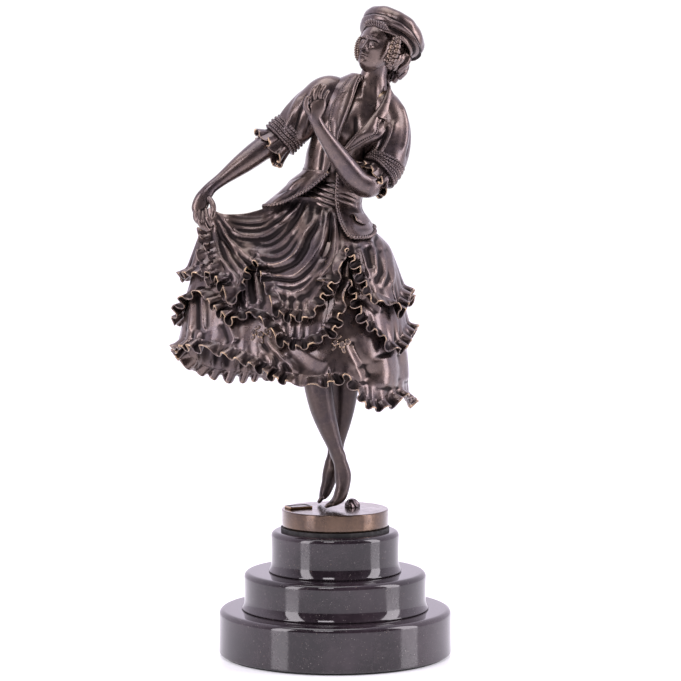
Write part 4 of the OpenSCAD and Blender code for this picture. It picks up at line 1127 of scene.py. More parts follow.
columns = 280
v = shares(72)
a = np.radians(np.linspace(-84, 260, columns))[None]
waist = 231 + 2.5 * np.cos(a - np.pi)
z = waist + (glide(np.degrees(a), flare_hem) - waist) * v
# the far front edge hangs straight, so the first columns are turned until they stand on it
tried = np.radians(np.linspace(-100, -10, 400))
levels = np.linspace(185, 236, 60)
reached = flared(tried[None], levels[:, None], 0.3)[..., 0]
hang = glide(levels, [[185, 12.6], [188.5, 9.5], [193.7, 5.6], [201.6, 2.6], [213, 0.9], [225, 1.5],
                      [236, 2.2]])
start = np.array([np.interp(x, row, tried) for x, row in zip(hang, reached)])
settle = ease(1 - np.linspace(0, 1, columns) / 0.22)[None]
even = a
for _ in range(3):
    a = even + (np.interp(z, levels, start) - even[:, :1]) * settle
    z = waist + (glide(np.degrees(a), flare_hem) - waist) * v
flute = (0.55 * np.sin(9 * a + 1.0) + 0.35 * np.sin(17 * a)) * v ** 1.2 * ease((np.degrees(a) + 10) / 30)
bunched = ease((np.degrees(a) - 168) / 14) * ease((226 - np.degrees(a)) / 12)
flute += 0.9 * bunched * np.abs(np.sin(2.6 * np.pi * v + 0.05 * np.degrees(a))) ** 0.7 * ease(v / 0.2)
flute += (1.2 * np.exp(-((np.degrees(a) - 215) / 9) ** 2) * v
          - 0.9 * np.exp(-((np.degrees(a) - 232) / 8) ** 2) * v)
flute += 1.0 * np.exp(-((np.degrees(a) + 30) / 14) ** 2) * np.sin(np.pi * v) - 0.9 * np.exp(
    -((np.degrees(a) + 8) / 6) ** 2) * v
outer = flared(a, z, 0.3 + flute + 0.9 * v ** 2)
normal = unit(outer - flared(a, z, -3.0 + flute))
flare_shape = plate(outer, normal, cloth_wall)
cast("jacket_skirt_casting", flare_shape, "jacket_tail", width=1.3, rub=0.06)
hem_line = np.concatenate([outer[::9, 0], outer[-1, ::9], outer[::-1, -1][::9]]) + np.array([0, -0.2, 0])
cast("jacket_hem_cord", cord(hem_line, 1.25, 2.2))
cast("jacket_waist_welt", cord(outer[2, ::7] - normal[2, ::7] * 0.25, 0.55, 1.2), rub=0.05)
cast("jacket_edge_cords", together(cord(body[::5, 0] - body_out[::5, 0] * 0.6, 0.75),
                                   cord(body[::5, -1] - body_out[::5, -1] * 0.6, 0.75)))


def laid_on(name, inner, outer, out, count=150, across=36):
    """A flat piece of cloth laid on the jacket's front between two lines: it rolls over along its
    fold, lies close along its edge, and carries a row of stitches a millimetre inside the edge."""
    first = curve([[px, 0, pz] for px, pz in inner], count)[:, [0, 2]]
    second = curve([[px, 0, pz] for px, pz in outer], count)[:, [0, 2]]
    v = np.linspace(0, 1, across)[None]
    x = first[:, :1] + (second[:, :1] - first[:, :1]) * v
    z = first[:, 1:] + (second[:, 1:] - first[:, 1:]) * v
    width = np.linalg.norm(second - first, axis=1)[:, None]
    inside = (1 - v) * width
    s = np.linspace(0, np.linalg.norm(np.diff(second, axis=0), axis=1).sum(), count)[:, None]
    lift = (out + 0.9 * np.sin(np.pi * np.clip(v * 1.15, 0, 1)) * np.minimum(width / 8, 1)
            - 0.7 * np.exp(-v * width / 0.7))
    stitch = 0.22 * np.exp(-((inside - 1.25) / 0.3) ** 2) * np.sin(2 * np.pi * s / 1.5)
    groove = -0.2 * np.exp(-((inside - 1.25) / 0.45) ** 2)
    face = trunk_front(jacket, x, z, lift)
    face[..., 1] -= jacket_relief(face) * 0.9 + stitch + groove
    normal = unit(face - trunk_front(jacket, x, z, lift - 3))
    cast(name, plate(face, normal, 1.2), width=1.0, rub=0.08)


laid_on("near_lapel", [(15.5, 296), (11.5, 281), (5.4, 264), (2.2, 253), (4.0, 246)],
        [(8, 292), (3.5, 284), (-1.5, 277), (-4.2, 264), (-2.5, 254), (3.2, 245.5)], 1.6)
laid_on("near_collar_fall", [(17, 296.6), (14.6, 291.6), (12.6, 286)],
        [(9.6, 295.6), (4.4, 288.4), (3, 284.5)], 2.0)
laid_on("far_lapel", [(27, 271.3), (22, 265), (17, 259), (6.5, 246.5)],
        [(30, 266), (28, 257), (18, 250.5), (7.5, 244)], 1.7)
laid_on("far_collar_fall", [(36.4, 289.4), (32.4, 279), (26, 269.4)],
        [(41.4, 281.6), (41.0, 273.4), (36.6, 265.6)], 2.1)

# The collar stands round the back of the neck and folds over, down to the ends of the lapels
fold_profile = np.array([[-1.9, -4.0], [-1.6, -1.0], [-1.0, 2.2], [0.2, 3.6], [1.6, 2.9], [3.2, -0.8],
                         [5.2, -4.6], [6.6, -7.4]])
profile_line = curve(np.column_stack([fold_profile, np.zeros(len(fold_profile))]), 48)
a = np.radians(np.linspace(6, 228, 150))[None]
r, h = profile_line[:, :1], profile_line[:, 1:2]
low_front = 3.2 * ease((np.cos(a) - 0.1) / 0.9) + 1.0 * ease((-np.cos(a) - 0.3) / 0.7)
half_x, half_y = 11.2 + r * 0.8, 11.0 + r
side, height = half_x * np.cos(a), h - low_front * 0.5
lean = np.radians(14)
face_grid = np.stack([25.2 + side * np.cos(lean) + height * np.sin(lean),
                      4.2 + half_y * np.sin(a) + 0 * height,
                      deck + 291.4 - side * np.sin(lean) + height * np.cos(lean)], -1)
face_out = unit(np.cross(np.gradient(face_grid, axis=1), np.gradient(face_grid, axis=0)))
if (face_out[24, 75] @ np.array([0, 0, 1.0])) < 0:
    face_out = -face_out
cast("folded_collar", plate(face_grid, face_out, 1.1), "jacket_collar", width=1.0, rub=0.05)

# The pocket flap on the jacket's skirt, with the line of stitches along its edge
flap_a = np.radians(np.linspace(-53, -27, 60))[None]
t = shares(40)
flap_z = (203.5 - (5.4 + 1.6 * np.sin(np.pi * np.linspace(0, 1, 60))[None]) * t
          - 2.2 * (flap_a - flap_a.min()))
inset = np.minimum(np.minimum(1 - t, 1.0) * 7,
                   np.minimum(flap_a - flap_a.min(), flap_a.max() - flap_a) * 34)
lift = 1.5 + 0.5 * np.sin(np.pi * t) - 0.22 * np.exp(-((inset - 1.1) / 0.35) ** 2)
outer_flap = flared(flap_a + 0 * t, flap_z, 0.3 + 1.1 + lift)
flap_out = unit(outer_flap - flared(flap_a + 0 * t, flap_z, -3))
cast("pocket_flap_casting", plate(outer_flap, flap_out, 1.3), "pocket_flap", width=0.9)


# ---- Sleeves, rolled cuffs and frills --------------------------------------------------------
# Each sleeve is a tapering casting with drag folds, its end turned up into a roll of stitched
# cords. A gathered frill of the blouse shows beneath the roll.

def folded_sleeve(folds):
    """Folds of a sleeve: each is a bell across a line that winds round the arm as it runs down."""
    def shape(angle, t):
        total = 0 * angle * t
        for height, start, turn, wide, low, high in folds:
            middle = start + turn * (t - low)
            away = (np.degrees(angle) - middle + 180) % 360 - 180
            total = total + height * np.exp(-(away / wide) ** 2) * ease((t - low) / 0.12) * ease(
                (high - t) / 0.12)
        return total
    return shape


def rolled_cuff(name, stations, turns):
    """A roll of cords round the sleeve: the radius rises and falls in half rounds along the arm, with
    slanting stitches pressed into each, first one way and then the other."""
    rows, cols = 80, 210
    def shape(angle, t):
        along = t * turns + 0.16 * np.sin(2 * angle + 1) + 0.09 * np.sin(5 * angle)
        lay = np.where(np.floor(along) % 2 < 1, 1.0, -1.0)
        stitch = 0.34 * np.sin(40 * angle + lay * 2.6 * (along % 1)) * np.sin(np.pi * (along % 1))
        ends = np.minimum(t, 1 - t) * 8
        slump = 0.7 * np.sin(angle + 0.6) * np.sin(np.pi * t)
        return (1.15 * np.sqrt(np.abs(np.sin(np.pi * along))) + stitch + slump
                - 2.2 * np.clip(1 - ends, 0, 1) ** 2)
    grid = limb(stations, rows, cols, shape=shape)
    # Painted shade: the rows at both ends of the roll and its end caps are darkened, where it meets the
    # sleeve and the frill
    ends = ease(1 - np.minimum(np.arange(rows), np.arange(rows)[::-1]) / 5)
    polish = np.append(np.repeat(-0.4 * ends, cols), [-0.4, -0.4])
    cast(name, skin(on_deck(grid), ends=("first", "last")), width=0.9, polish=polish)


def ring_frill(name, node, stations, waves, depth, seed):
    """A gathered frill round the arm: a flaring tube whose edge is thrown in and out by a sine of
    the angle and sideways by a sine of twice that, growing from the arm to the edge."""
    rows, cols = 24, 400
    base = on_deck(limb(stations, rows, cols))
    line = curve(stations, rows)
    ahead = unit(np.gradient(line[:, :3], axis=0))[:, None]
    away = unit(base - on_deck(line[:, None, :3]))
    round_arm = np.cross(ahead, away)
    a = full_turn(cols)
    q = shares(rows)
    phase = waves * a + 0.9 * np.sin(2 * a + seed) + 0.5 * np.sin(5 * a + 2 * seed)
    size = depth * (1 + 0.3 * np.sin(3 * a + seed)) * q ** 1.2
    grid = (base + away * (size * np.sin(phase))[..., None] + ahead
            * (0.8 * size * np.cos(phase + 0.5) * q)[..., None]
            - round_arm * (0.62 * size * np.sin(2 * phase))[..., None])
    normal = unit(np.cross(np.roll(grid, -1, 1) - np.roll(grid, 1, 1), np.gradient(grid, axis=0)))
    if (normal * away).sum() < 0:
        normal = -normal
    # The frill's edge is rubbed to gold as wear; its root, where it comes out from under the cuff, is
    # darkened as painted shade
    polish = np.concatenate([0.09 * ease((q[:, 0] - 0.86) / 0.14) - 0.4 * ease((0.12 - q[:, 0]) / 0.12),
                             [0.12] * 3, [0.09], np.zeros(9), [-0.4, -0.4]])
    rub_and_shade_scale = 0.6 + 0.4 * np.sin(phase[0] + seed)
    cast(name, skin(sheet(grid, normal, np.linspace(1.3, 1.0, rows), 12), loop=True), node, width=0.9,
         rub=0.16, polish=(polish[:, None] * rub_and_shade_scale).ravel())


near_sleeve = [[7, 3, 282, 8, 8], [0, 2.8, 284.6, 11.2, 10.4], [-6.5, 1.8, 283.2, 12.6, 11.6],
               [-13, 0.9, 277, 13.2, 12.2], [-21, 0, 268.6, 13.2, 12.4], [-28, -1.2, 261, 12.9, 12.2],
               [-34, -2.3, 255.5, 11.8, 11.2], [-37, -3, 252.4, 9.6, 9.0]]
near_folds = [(1.0, 300, -130, 13, 0.30, 0.9), (0.9, 340, -120, 11, 0.42, 1.0),
              (0.8, 20, -90, 12, 0.35, 0.95), (0.9, 255, -60, 13, 0.25, 0.8), (0.8, 120, 70, 16, 0.3, 0.9),
              (-0.8, 320, -125, 9, 0.35, 0.95), (0.7, 70, 60, 14, 0.35, 0.9), (0.7, 180, 80, 16, 0.35, 0.9),
              (-0.7, 275, -90, 9, 0.3, 0.85)]
cast("near_sleeve_casting", skin(on_deck(limb(near_sleeve, 120, 200, shape=folded_sleeve(near_folds))),
                                 ends=("first", "last")), "right_sleeve", width=1.5)
rolled_cuff("near_rolled_cuff", [[-28.6, -1.4, 260.6, 12.0, 11.4], [-33, -2.2, 256.6, 12.5, 11.9],
                                 [-38.6, -3.4, 251.4, 12.4, 11.8]], 5)
ring_frill("near_sleeve_frill", "right_cuff_frill",
           [[-36, -2.9, 253.6, 10.2, 9.6], [-40.5, -4, 249.8, 11.6, 11],
            [-45.4, -5.4, 246.4, 14, 13.2]], 8, 2.1, 0.4)
far_sleeve = [[29, 3, 282, 8, 8], [33.5, 1.6, 275, 11.4, 10.6], [37.4, -0.6, 265, 12.6, 11.8],
              [38.6, -3.6, 255.5, 12.7, 12.2], [37.4, -7.2, 246, 12.6, 12.2],
              [34.6, -11, 237.5, 12.4, 12.2], [31.6, -13.6, 232.6, 11.6, 11.4],
              [29.8, -14.8, 230.6, 9.4, 9.2]]
far_folds = [(1.2, 200, 50, 12, 0.15, 0.75), (1.0, 150, 40, 12, 0.2, 0.9), (1.1, 60, -60, 16, 0.3, 0.9),
             (-0.9, 175, 45, 9, 0.2, 0.8), (1.0, 255, 90, 12, 0.35, 0.95), (0.9, 300, 80, 12, 0.4, 0.95),
             (0.9, 20, 60, 16, 0.25, 0.9), (-0.8, 280, 85, 9, 0.4, 0.95), (0.8, 110, 30, 14, 0.2, 0.9)]
cast("far_sleeve_casting", skin(on_deck(limb(far_sleeve, 120, 200, shape=folded_sleeve(far_folds))),
                                ends=("first", "last")), "left_sleeve", width=1.5)
rolled_cuff("far_rolled_cuff", [[35.4, -10.4, 239, 12.5, 12.2], [32.4, -13, 233.6, 12.8, 12.6],
                                [28.8, -15.4, 230, 12.8, 12.6]], 5)
ring_frill("far_sleeve_frill", "left_cuff_frill",
           [[29.8, -15, 230.4, 10.6, 10.4], [26.6, -16.8, 227.8, 11.8, 11.6],
            [23.8, -18.4, 225.8, 13.6, 13.2]], 9, 1.9, 1.9)


# ---- Forearms and hands ----------------------------------------------------------------------
# Bare forearms, each cast with its hand. One hand holds up the skirt, with the fingers closed on
# the cloth. The other is raised before the breast, palm in, with the fingers slightly curled.

def finger(points, radius):
    """A finger: a smooth line through its root, knuckle and tip, a little thicker at the knuckle and
    drawn in to a rounded end."""
    points = np.asarray(points, float)
    path = curve(points, 9)
    ahead = unit(path[-1] - path[-2])
    path = np.vstack([path, path[-1] + ahead * radius * 0.55, path[-1] + ahead * radius * 0.9])
    share = np.linspace(0, 1, len(path))
    r = radius * (1.05 - 0.22 * share + 0.10 * np.exp(-((share - 0.45) / 0.1) ** 2))
    r[-2:] = radius * np.array([0.55, 0.08])
    return skin(on_deck(limb(np.column_stack([path, r, r * 0.92]), 26, 16, side=(0.3, 0.9, 0.2))),
                ends=("first", "last"))


def arm_shape(angle, t):
    """The swelling of the forearm below the elbow, and the bone at the wrist."""
    return (0.9 * lump(t, 0.30, 0.22) * round_lump(angle, 120, 70) - 0.3 * lump(t, 0.7, 0.2)
            + 0.5 * lump(t, 0.95, 0.035) * round_lump(angle, 90, 40))


near_arm = [[-34, -2.3, 256.5, 7.4, 7], [-49, -7, 247, 7.8, 7.4], [-63, -13, 236.5, 6.8, 6.4],
            [-76, -18, 226.5, 4.9, 4.6], [-83, -21, 221, 4.5, 4.1], [-86.5, -22.4, 217, 4.9, 3.9],
            [-89.5, -23.4, 212, 5.6, 3.7], [-91.5, -24.4, 206.5, 5.3, 3.3], [-91.6, -25.2, 203.4, 3.6, 2.6]]
near_fingers = [([(-93.4, -25, 207), (-93.6, -28, 200.5), (-90, -29.4, 196.4), (-87.6, -28.2, 196.2)], 1.9),
                ([(-91.2, -26, 205), (-91, -30, 198), (-87.6, -30.4, 193.6), (-85.2, -28.6, 193.8)], 1.9),
                ([(-89, -26, 204.6), (-88.4, -30.4, 197.6), (-85.6, -30.4, 192.4), (-83.6, -28.2, 192.8)],
                 1.8),
                ([(-87, -25.4, 206), (-85.6, -29.6, 200), (-83.6, -29.6, 195.6), (-82.2, -27.6, 195)],
                 1.65),
                ([(-85.6, -24, 214), (-82.4, -27.6, 210), (-81.6, -30.6, 204.6), (-82.4, -31.4, 200.6)],
                 2.05)]
fused("near_arm_and_hand", together(
    skin(on_deck(limb(near_arm, 170, 60, shape=arm_shape)), ends=("first", "last")),
    *[finger(points, radius) for points, radius in near_fingers]), 0.42, 4, "right_forearm", "right_hand",
      width=1.2)
far_arm = [[30.5, -17.2, 231.5, 6.4, 6.4], [23.5, -23.5, 222.6, 8.3, 8.2], [15, -28, 226, 8.0, 7.5],
           [3, -34, 241, 6.9, 6.3], [-8, -40, 257, 5.0, 4.5], [-12.6, -42.2, 265.4, 4.4, 3.7],
           [-13.2, -42.8, 269.4, 5.2, 3.5], [-12.2, -43.2, 274, 6.0, 3.2], [-10.8, -43.2, 278, 5.4, 2.7],
           [-10.4, -43, 280, 3.6, 1.8]]
far_fingers = [([(-15.0, -43.2, 274), (-16.2, -44.2, 280), (-14.6, -44, 285.4), (-12.4, -43, 288.2)], 1.6),
               ([(-12.6, -43.4, 276), (-13.2, -44.6, 282), (-11.4, -44.2, 287.2), (-9.4, -43.2, 289.4)],
                1.65),
               ([(-10.2, -43.4, 276.4), (-10.0, -44.4, 282.4), (-8.2, -44, 286.8), (-6.6, -43, 288.2)],
                1.55),
               ([(-8.0, -43, 275), (-7.0, -43.8, 280), (-5.4, -43.4, 283.6), (-4.4, -42.6, 284.8)], 1.4),
               ([(-15.2, -43.6, 268.6), (-18.6, -45, 272.6), (-19.4, -46, 277), (-18.0, -46.4, 280.6)],
                1.8)]
fused("far_arm_and_hand", together(
    skin(on_deck(limb(far_arm, 190, 60, shape=arm_shape)), ends=("first", "last")),
    *[finger(points, radius) for points, radius in far_fingers]), 0.42, 4, "left_forearm", "left_hand",
      width=1.2)


# ---- Head ------------------------------------------------------------------------------------
# The head is doweled and soldered to the neck. The face is a plain, calm one on the standard
# divisions: eyes at half the height, brow, nose and chin at equal thirds.

head_centre = np.array([28.2, -0.6, deck + 315.2])
head_half = np.array([12.3, 14.6, 18.4])


def turn_matrix(turn, nod, lean):
    """Turned about the upright axis, nodded about the ear line and leaned sideways, in degrees."""
    t, n, l = np.radians([turn, nod, lean])
    about_z = np.array([[np.cos(t), -np.sin(t), 0], [np.sin(t), np.cos(t), 0], [0, 0, 1]])
    about_x = np.array([[1, 0, 0], [0, np.cos(n), -np.sin(n)], [0, np.sin(n), np.cos(n)]])
    about_y = np.array([[np.cos(l), 0, np.sin(l)], [0, 1, 0], [-np.sin(l), 0, np.cos(l)]])
    return about_y @ about_z @ about_x


head_turn = turn_matrix(-32, -8, 14)


def on_head(local):
    """From the head's own axes, with the face towards the front, to its place on the figure."""
    return local @ head_turn.T + head_centre


def skull(side, up, grow=0.0):
    """The head without features: an egg by two angles, drawn in towards the jaw, with a flatter face
    and a fuller back above the nape."""
    c, s = np.cos(up), np.sin(up)
    x, y, z = np.sin(side) * np.abs(c) ** 0.86, -np.cos(side) * np.abs(c) ** 0.86, s + 0 * side
    low = np.clip(-z, 0, 1)
    front = np.clip(-y, 0, 1)
    x = x * (1 - 0.34 * low ** 1.4)
    y = np.where(y < 0, y * (0.93 + 0.05 * low), y * (1 - 0.45 * low ** 1.3))
    y = y - 0.17 * low ** 2 * front - 0.20 * low ** 3
    return np.stack([x * (head_half[0] + grow), y * (head_half[1] + grow), z * (head_half[2] + grow)], -1)


def face_features(x, z):
    """How far the face stands forward, by place: the nose as a ridge that widens downwards and ends
    sharply, eyes in shallow sockets under brow ridges, lips either side of a seam, and the chin."""
    bell = lambda cx, cz, wx, wz: np.exp(-((x - cx) / wx) ** 2 - ((z - cz) / wz) ** 2)
    ax = np.abs(x)
    down = np.clip((2.6 - z) / 8.0, 0, 1)
    nose = (0.4 + 3.1 * down ** 1.15) * ease((z + 7.0) / 2.0) * ease((4.6 - z) / 2.5)
    nose = nose * np.exp(-(ax / (1.0 + 0.95 * down)) ** 2.2)
    wings = 0.8 * np.exp(-((ax - 2.0) / 0.95) ** 2 - ((z + 5.1) / 1.1) ** 2)
    nostril = -0.45 * np.exp(-((ax - 1.1) / 0.55) ** 2 - ((z + 6.1) / 0.45) ** 2)
    bell2 = lambda cx, cz, wx, wz: np.exp(-((ax - cx) / wx) ** 2 - ((z - cz) / wz) ** 2)
    socket = -1.5 * bell2(4.3, 0.6, 3.2, 2.1)
    ball = 1.5 * bell2(4.4, -0.1, 2.2, 1.35)
    lid_line = 1.15 - 0.16 * (ax - 4.4) ** 2
    upper_lid = 0.32 * np.exp(-((z - lid_line) / 0.42) ** 2) * ease((2.9 - np.abs(ax - 4.4)) / 0.9)
    lower_line = -1.15 + 0.11 * (ax - 4.4) ** 2
    lower_lid = 0.16 * np.exp(-((z - lower_line) / 0.36) ** 2) * ease((2.7 - np.abs(ax - 4.4)) / 0.9)
    lid_crease = -0.2 * np.exp(-((z - lid_line - 0.85) / 0.35) ** 2) * ease((3.0 - np.abs(ax - 4.4)) / 0.9)
    brow_line = 3.5 - 0.05 * (ax - 4.6) ** 2
    brow = 0.6 * np.exp(-((z - brow_line) / 1.0) ** 2) * ease((ax - 0.6) / 1.6) * ease((8.6 - ax) / 2)
    cheek = 0.9 * bell2(6.2, -3.6, 3.0, 3.0) - 0.5 * bell2(5.4, -8.4, 2.6, 3.0)
    lip_in = ease((3.6 - ax) / 1.4)
    upper_lip = 0.75 * np.exp(-((z + 8.75 - 0.12 * np.cos(ax * 1.4)) / 0.72) ** 2) * lip_in
    lower_lip = 0.85 * np.exp(-((z + 10.25) / 0.8) ** 2) * ease((3.0 - ax) / 1.5)
    seam = -0.5 * np.exp(-((z + 9.5 - 0.05 * ax) / 0.34) ** 2) * ease((3.9 - ax) / 0.8)
    philtrum = -0.15 * bell(0, -7.4, 0.7, 0.9)
    under_lip = -0.5 * bell(0, -12.0, 3.0, 1.1)
    muzzle = 1.3 * bell(0, -8.9, 4.4, 3.4)
    chin = 1.5 * bell(0, -14.3, 3.4, 2.0)
    return (nose + wings + nostril + socket + ball + upper_lid + lower_lid + lid_crease + brow + cheek
            + upper_lip + lower_lip + seam + philtrum + under_lip + muzzle + chin)


side = np.linspace(-1, 1, 256, endpoint=False)
side = np.pi * (0.45 * side + 0.55 * side ** 3)[None]
up = np.linspace(-0.497 * np.pi, 0.497 * np.pi, 200)[:, None]
face = skull(side, up)
facing = ease((-face[..., 1] / head_half[1] - 0.05) / 0.35)
face[..., 1] -= face_features(face[..., 0], face[..., 2]) * facing
cast("head_casting", skin(on_head(face), ends=("first", "last")), "head", width=0.45)


# ---- Hair ------------------------------------------------------------------------------------
# Waved hair lies close over the sides and back, is rolled over the forehead and hangs in curls at
# the nape, and a plait hangs before each ear. All of it is chased with fine strands.

side = np.linspace(np.radians(74), np.radians(286), 170)[None]
up = np.radians(np.linspace(-32, 86, 96))[:, None]
lock = np.abs(np.sin(9 * side + 2.2 * np.sin(3.2 * up) + 0.8 * up)) ** 0.7
strand = np.sin(70 * side + 14 * np.sin(3.2 * up) + 6 * up)
edge = ease((side - side.min()) / 0.18) * ease((side.max() - side) / 0.18) * ease((up - up.min()) / 0.22)
cap = skull(side, up, 0.0)
away = unit(cap)
cap = cap + away * (-0.8 + edge * (2.6 + 0.9 * lock + 0.13 * strand))[..., None]
cast("waved_hair", plate(on_head(cap), away @ head_turn.T, 1.2), width=0.8, rub=0.08)


def tress(points, radius, turns, strands=2, count=72, around=48):
    """A twisted lock: its section is a ring of rounded strands that turns as it runs along, thicker
    at the middle and drawn in at the ends, with hair-fine lines along each strand."""
    line = curve(points, count)
    ahead = unit(np.gradient(line[:, :3], axis=0))
    across = unit(np.cross(np.array([0.1, 1.0, 0.2]), ahead))
    over = np.cross(ahead, across)
    t = shares(count)
    a = full_turn(around)
    winding = a - 2 * np.pi * turns * t
    ripple = np.abs(np.cos(0.5 * strands * winding)) ** 0.6
    fine = 0.035 * np.sin(5 * strands * winding + 9 * t)
    taper = 0.25 + 0.75 * np.sqrt(np.clip(np.sin(np.pi * np.clip(t, 0.01, 0.99)), 0, 1))
    r = radius * (0.74 + 0.32 * ripple + fine) * taper
    grid = (line[:, None, :3] + (r * np.cos(a))[..., None] * across[:, None]
            + (r * np.sin(a))[..., None] * over[:, None])
    return skin(on_deck(grid), ends=("first", "last"))


def plait(points, width, crossings):
    """A plait seen as its strands show on it: a core, and over it two rows of pointed lobes that lean
    in from either edge to the middle, each set half a step behind the one across from it."""
    line = curve(points, 2 * crossings + 1)
    ahead = unit(np.gradient(line, axis=0))
    across = unit(np.cross(np.array([0.25, 1.0, 0.1]), ahead))
    over = np.cross(ahead, across)
    thin = np.sqrt(np.sin(np.pi * np.linspace(0.06, 0.94, len(line))))
    core = curve(np.column_stack([curve(points, 9), np.full(9, 0.26 * width), np.full(9, 0.22 * width)]),
                 60)
    made = [skin(on_deck(limb(core, 60, 16)), ends=("first", "last"))]
    for k in range(len(line)):
        side = 1 if k % 2 else -1
        for face in (1, -1):
            middle = line[k] + (across[k] * side * 0.27 + over[k] * face * 0.16) * width * thin[k]
            lean = unit(ahead[k] * 0.55 - across[k] * side * 0.84)
            ends = middle + lean * np.array([[-0.38], [-0.16], [0.14], [0.36]]) * width * thin[k]
            r = np.array([0.07, 0.235, 0.22, 0.06])[:, None] * width * thin[k]
            made.append(skin(on_deck(limb(np.hstack([ends, r, r]), 12, 12)), ends=("first", "last")))
    return together(*made)


cast("near_plait", plait([(42.4, -10.2, 324), (41.0, -13.6, 318), (39.2, -15.0, 311.5), (37.4, -14.2, 305),
                          (36.8, -12.0, 300.8)], 6.6, 8),
     "near_braid", width=0.8, rub=0.16)
cast("far_plait", plait([(17.0, -4.5, 322), (15.4, -6.4, 317.4), (14.8, -6.8, 312), (15.2, -6.4, 308),
                         (16.8, -5.0, 305.4)], 3.2, 12), "far_braid", width=0.8, rub=0.16)
curls = [([(41, 4, 322), (44.5, 1, 316), (44, -2, 309), (41, -3, 304), (40, -1, 300)], 3.6, 0.9),
         ([(44, 8, 322), (48, 6, 315), (47.5, 4, 307), (44.5, 4, 301), (43, 5, 297)], 4.0, 0.8),
         ([(39, 10, 322), (43, 12, 314), (44, 12, 305), (42, 11, 297), (40, 9, 292)], 4.4, 0.8),
         ([(34, 14, 318), (37, 16, 311), (38, 16, 303), (37, 14, 296), (36, 12, 292)], 4.2, 0.9),
         ([(28, 15, 316), (30, 17, 309), (32, 17, 302), (32, 14, 295)], 3.8, 0.8),
         ([(42, 0, 316), (43, -4, 311), (41, -6, 306), (39, -5, 302)], 3.0, 1.0),
         ([(46, 9, 314), (47, 10, 307), (46, 10, 300), (43.5, 8, 294)], 3.9, 0.8)]
cast("nape_curls", together(*[tress(points, radius, turns) for points, radius, turns in curls]),
     "hair_knot", width=0.9)
rolls = [[(20.4, -13.0, 330.4), (24.5, -16.2, 331.4), (29, -17.6, 330.4)],
         [(26.5, -17.2, 331.2), (31, -18, 329.4), (35.4, -17, 326.2)]]
cast("forehead_roll", together(*[tress(points, 2.6, 2.2, 3) for points in rolls]), "fringe", width=0.8)


# ---- Beret -----------------------------------------------------------------------------------
# A soft round cap cast as a bowl, pulled down to one side over the hair, with a narrow band,
# a rolled edge, and slack folds that run out from the crown.

cap_turn = turn_matrix(0, -25, 25)
cap_centre = np.array([36.2, 3.0, deck + 317.8])
profile = np.array([[0.4, 3.5, 0], [8, 2.8, 0], [14.5, 1.0, 0], [15.8, -0.8, 0], [16.6, -1.2, 0],
                    [17.4, -0.6, 0], [17.8, 1.2, 0], [17.8, 2.2, 0], [18.3, 2.5, 0], [20.4, 2.7, 0],
                    [22.3, 3.6, 0], [23.0, 5.2, 0], [22.8, 6.2, 0], [22.4, 7.0, 0], [22.8, 8.4, 0],
                    [23.0, 10.6, 0], [22.3, 13.2, 0], [20.0, 15.6, 0], [14.9, 17.4, 0], [8.0, 18.4, 0],
                    [3.0, 18.6, 0], [0.4, 18.6, 0]])
line = curve(profile, 124)
a = full_turn(250)
r, h = line[:, :1], line[:, 1:2]
slack = ease((h - 3.2) / 2.5) * ease((r - 3) / 8)
pleat = (0.30 * np.abs(np.sin(4.5 * a + 0.5 * np.sin(2 * a) + 0.07 * r)) ** 0.8
         + 0.10 * np.sin(13 * a + 0.3 * h)
         + 0.5 * np.sin(2 * a + 0.6)) * slack
band = (h < 2.9) & (r > 15)
ribs = 0.10 * np.sin(120 * a) * band + 0.22 * np.exp(-((h - 0.2) / 0.3) ** 2) * band
grid = np.stack([(r + pleat + ribs) * np.cos(a), (r + pleat + ribs) * np.sin(a), h + 0.5 * pleat + 0 * a],
                -1)
grid[..., 2] -= slack * (0.05 * grid[..., 0] + 2.6 * ease((grid[..., 0] - 8) / 14))
button = turned([[0.2, 18.3], [1.5, 18.5], [1.7, 19.1], [1.2, 19.7], [0.2, 19.9]], 32)
cast("cast_beret", together(skin(grid @ cap_turn.T + cap_centre, ends=("first", "last")),
                            skin(button @ cap_turn.T + cap_centre, ends=("first", "last"))), "beret",
     width=1.3)


# ---- Studio: floor and lights ----------------------------------------------------------------
# A white floor, slightly glossy, with a large soft light on each side, one above and a weak one
# in front. The surroundings are dim, so that the bronze shows dark between the lights.

floor_mesh = bpy.data.meshes.new("studio_floor")
reach = 9.0
floor_mesh.from_pydata([(-reach, -reach, 0), (reach, -reach, 0), (reach, reach, 0), (-reach, reach, 0)], [],
                       [(0, 1, 2, 3)])
floor = bpy.data.objects.new("studio_floor", floor_mesh)
bpy.context.scene.collection.objects.link(floor)
paint = Finish("white_floor", roughness=0.22)
paint.wear(paint.blend(paint.noise(3), (0.84, 0.84, 0.86), (0.88, 0.88, 0.89)), "Base Color")
paint.shader.inputs["Emission Color"].default_value = (0.96, 0.95, 1.0, 1)
paint.shader.inputs["Emission Strength"].default_value = 0.32
floor_mesh.materials.append(paint.material)


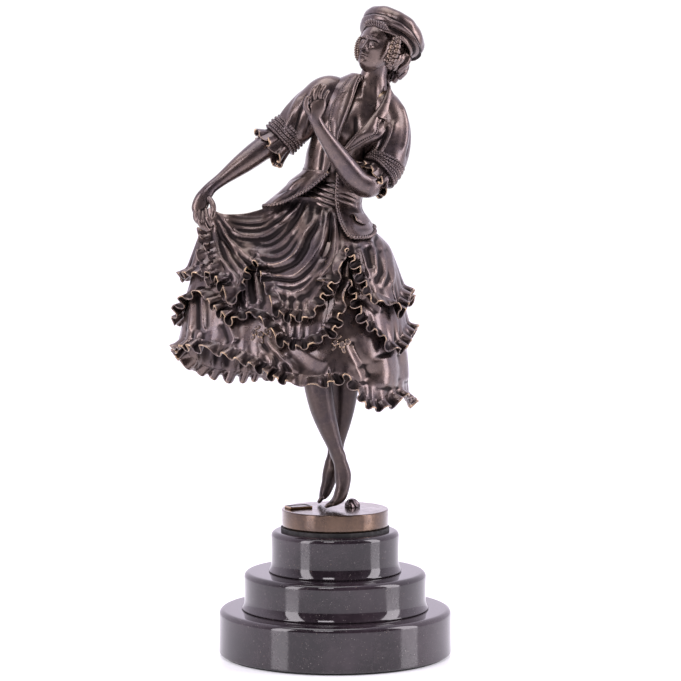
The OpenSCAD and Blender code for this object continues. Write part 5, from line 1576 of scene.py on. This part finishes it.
def softbox(name, place, aim, width, height, power, colour=(1, 1, 1)):
    """A rectangular soft light, turned from its place towards its aim."""
    light = bpy.data.lights.new(name, "AREA")
    light.shape = "RECTANGLE"
    light.size, light.size_y = width, height
    light.energy = power
    light.color = colour
    made = bpy.data.objects.new(name, light)
    bpy.context.scene.collection.objects.link(made)
    made.location = place
    made.rotation_euler = (Vector(aim) - Vector(place)).to_track_quat("-Z", "Y").to_euler()


softbox("left_box", (-1.35, -0.95, 0.70), (0, 0, 0.25), 0.55, 1.5, 17, (1.0, 0.94, 1.0))
softbox("right_box", (1.5, -0.35, 0.75), (0, 0, 0.25), 0.6, 1.6, 19, (1.0, 0.94, 1.0))
softbox("front_box", (-0.35, -1.5, 1.55), (0, 0, 0.34), 0.6, 0.4, 6, (1.0, 0.94, 1.0))
softbox("top_box", (-0.2, -0.2, 2.0), (0, 0, 0.2), 1.4, 1.4, 17)
world = bpy.data.worlds.new("studio")
bpy.context.scene.world = world
world.use_nodes = True
tree = world.node_tree
link = tree.links.new
# By direction: white behind the figure, falling to grey round the sides and dark in front
toward = tree.nodes.new("ShaderNodeTexCoord")
parts = tree.nodes.new("ShaderNodeSeparateXYZ")
link(toward.outputs["Generated"], parts.inputs[0])
depth_share = tree.nodes.new("ShaderNodeMapRange")
depth_share.interpolation_type = "SMOOTHSTEP"
for key, value in (("From Min", -0.75), ("From Max", 0.35), ("To Min", 0.11), ("To Max", 1.25)):
    depth_share.inputs[key].default_value = value
link(parts.outputs["Y"], depth_share.inputs["Value"])
dim = tree.nodes["Background"]
dim.inputs["Color"].default_value = (1.0, 0.91, 1.07, 1)
link(depth_share.outputs["Result"], dim.inputs["Strength"])
white = tree.nodes.new("ShaderNodeBackground")
white.inputs["Strength"].default_value = 1.1
white.inputs["Color"].default_value = (1, 1, 1, 1)
path = tree.nodes.new("ShaderNodeLightPath")
mixed = tree.nodes.new("ShaderNodeMixShader")
link(path.outputs["Is Camera Ray"], mixed.inputs[0])
link(dim.outputs[0], mixed.inputs[1])
link(white.outputs[0], mixed.inputs[2])
link(mixed.outputs[0], tree.nodes["World Output"].inputs["Surface"])
bpy.context.scene.view_settings.view_transform = "Standard"
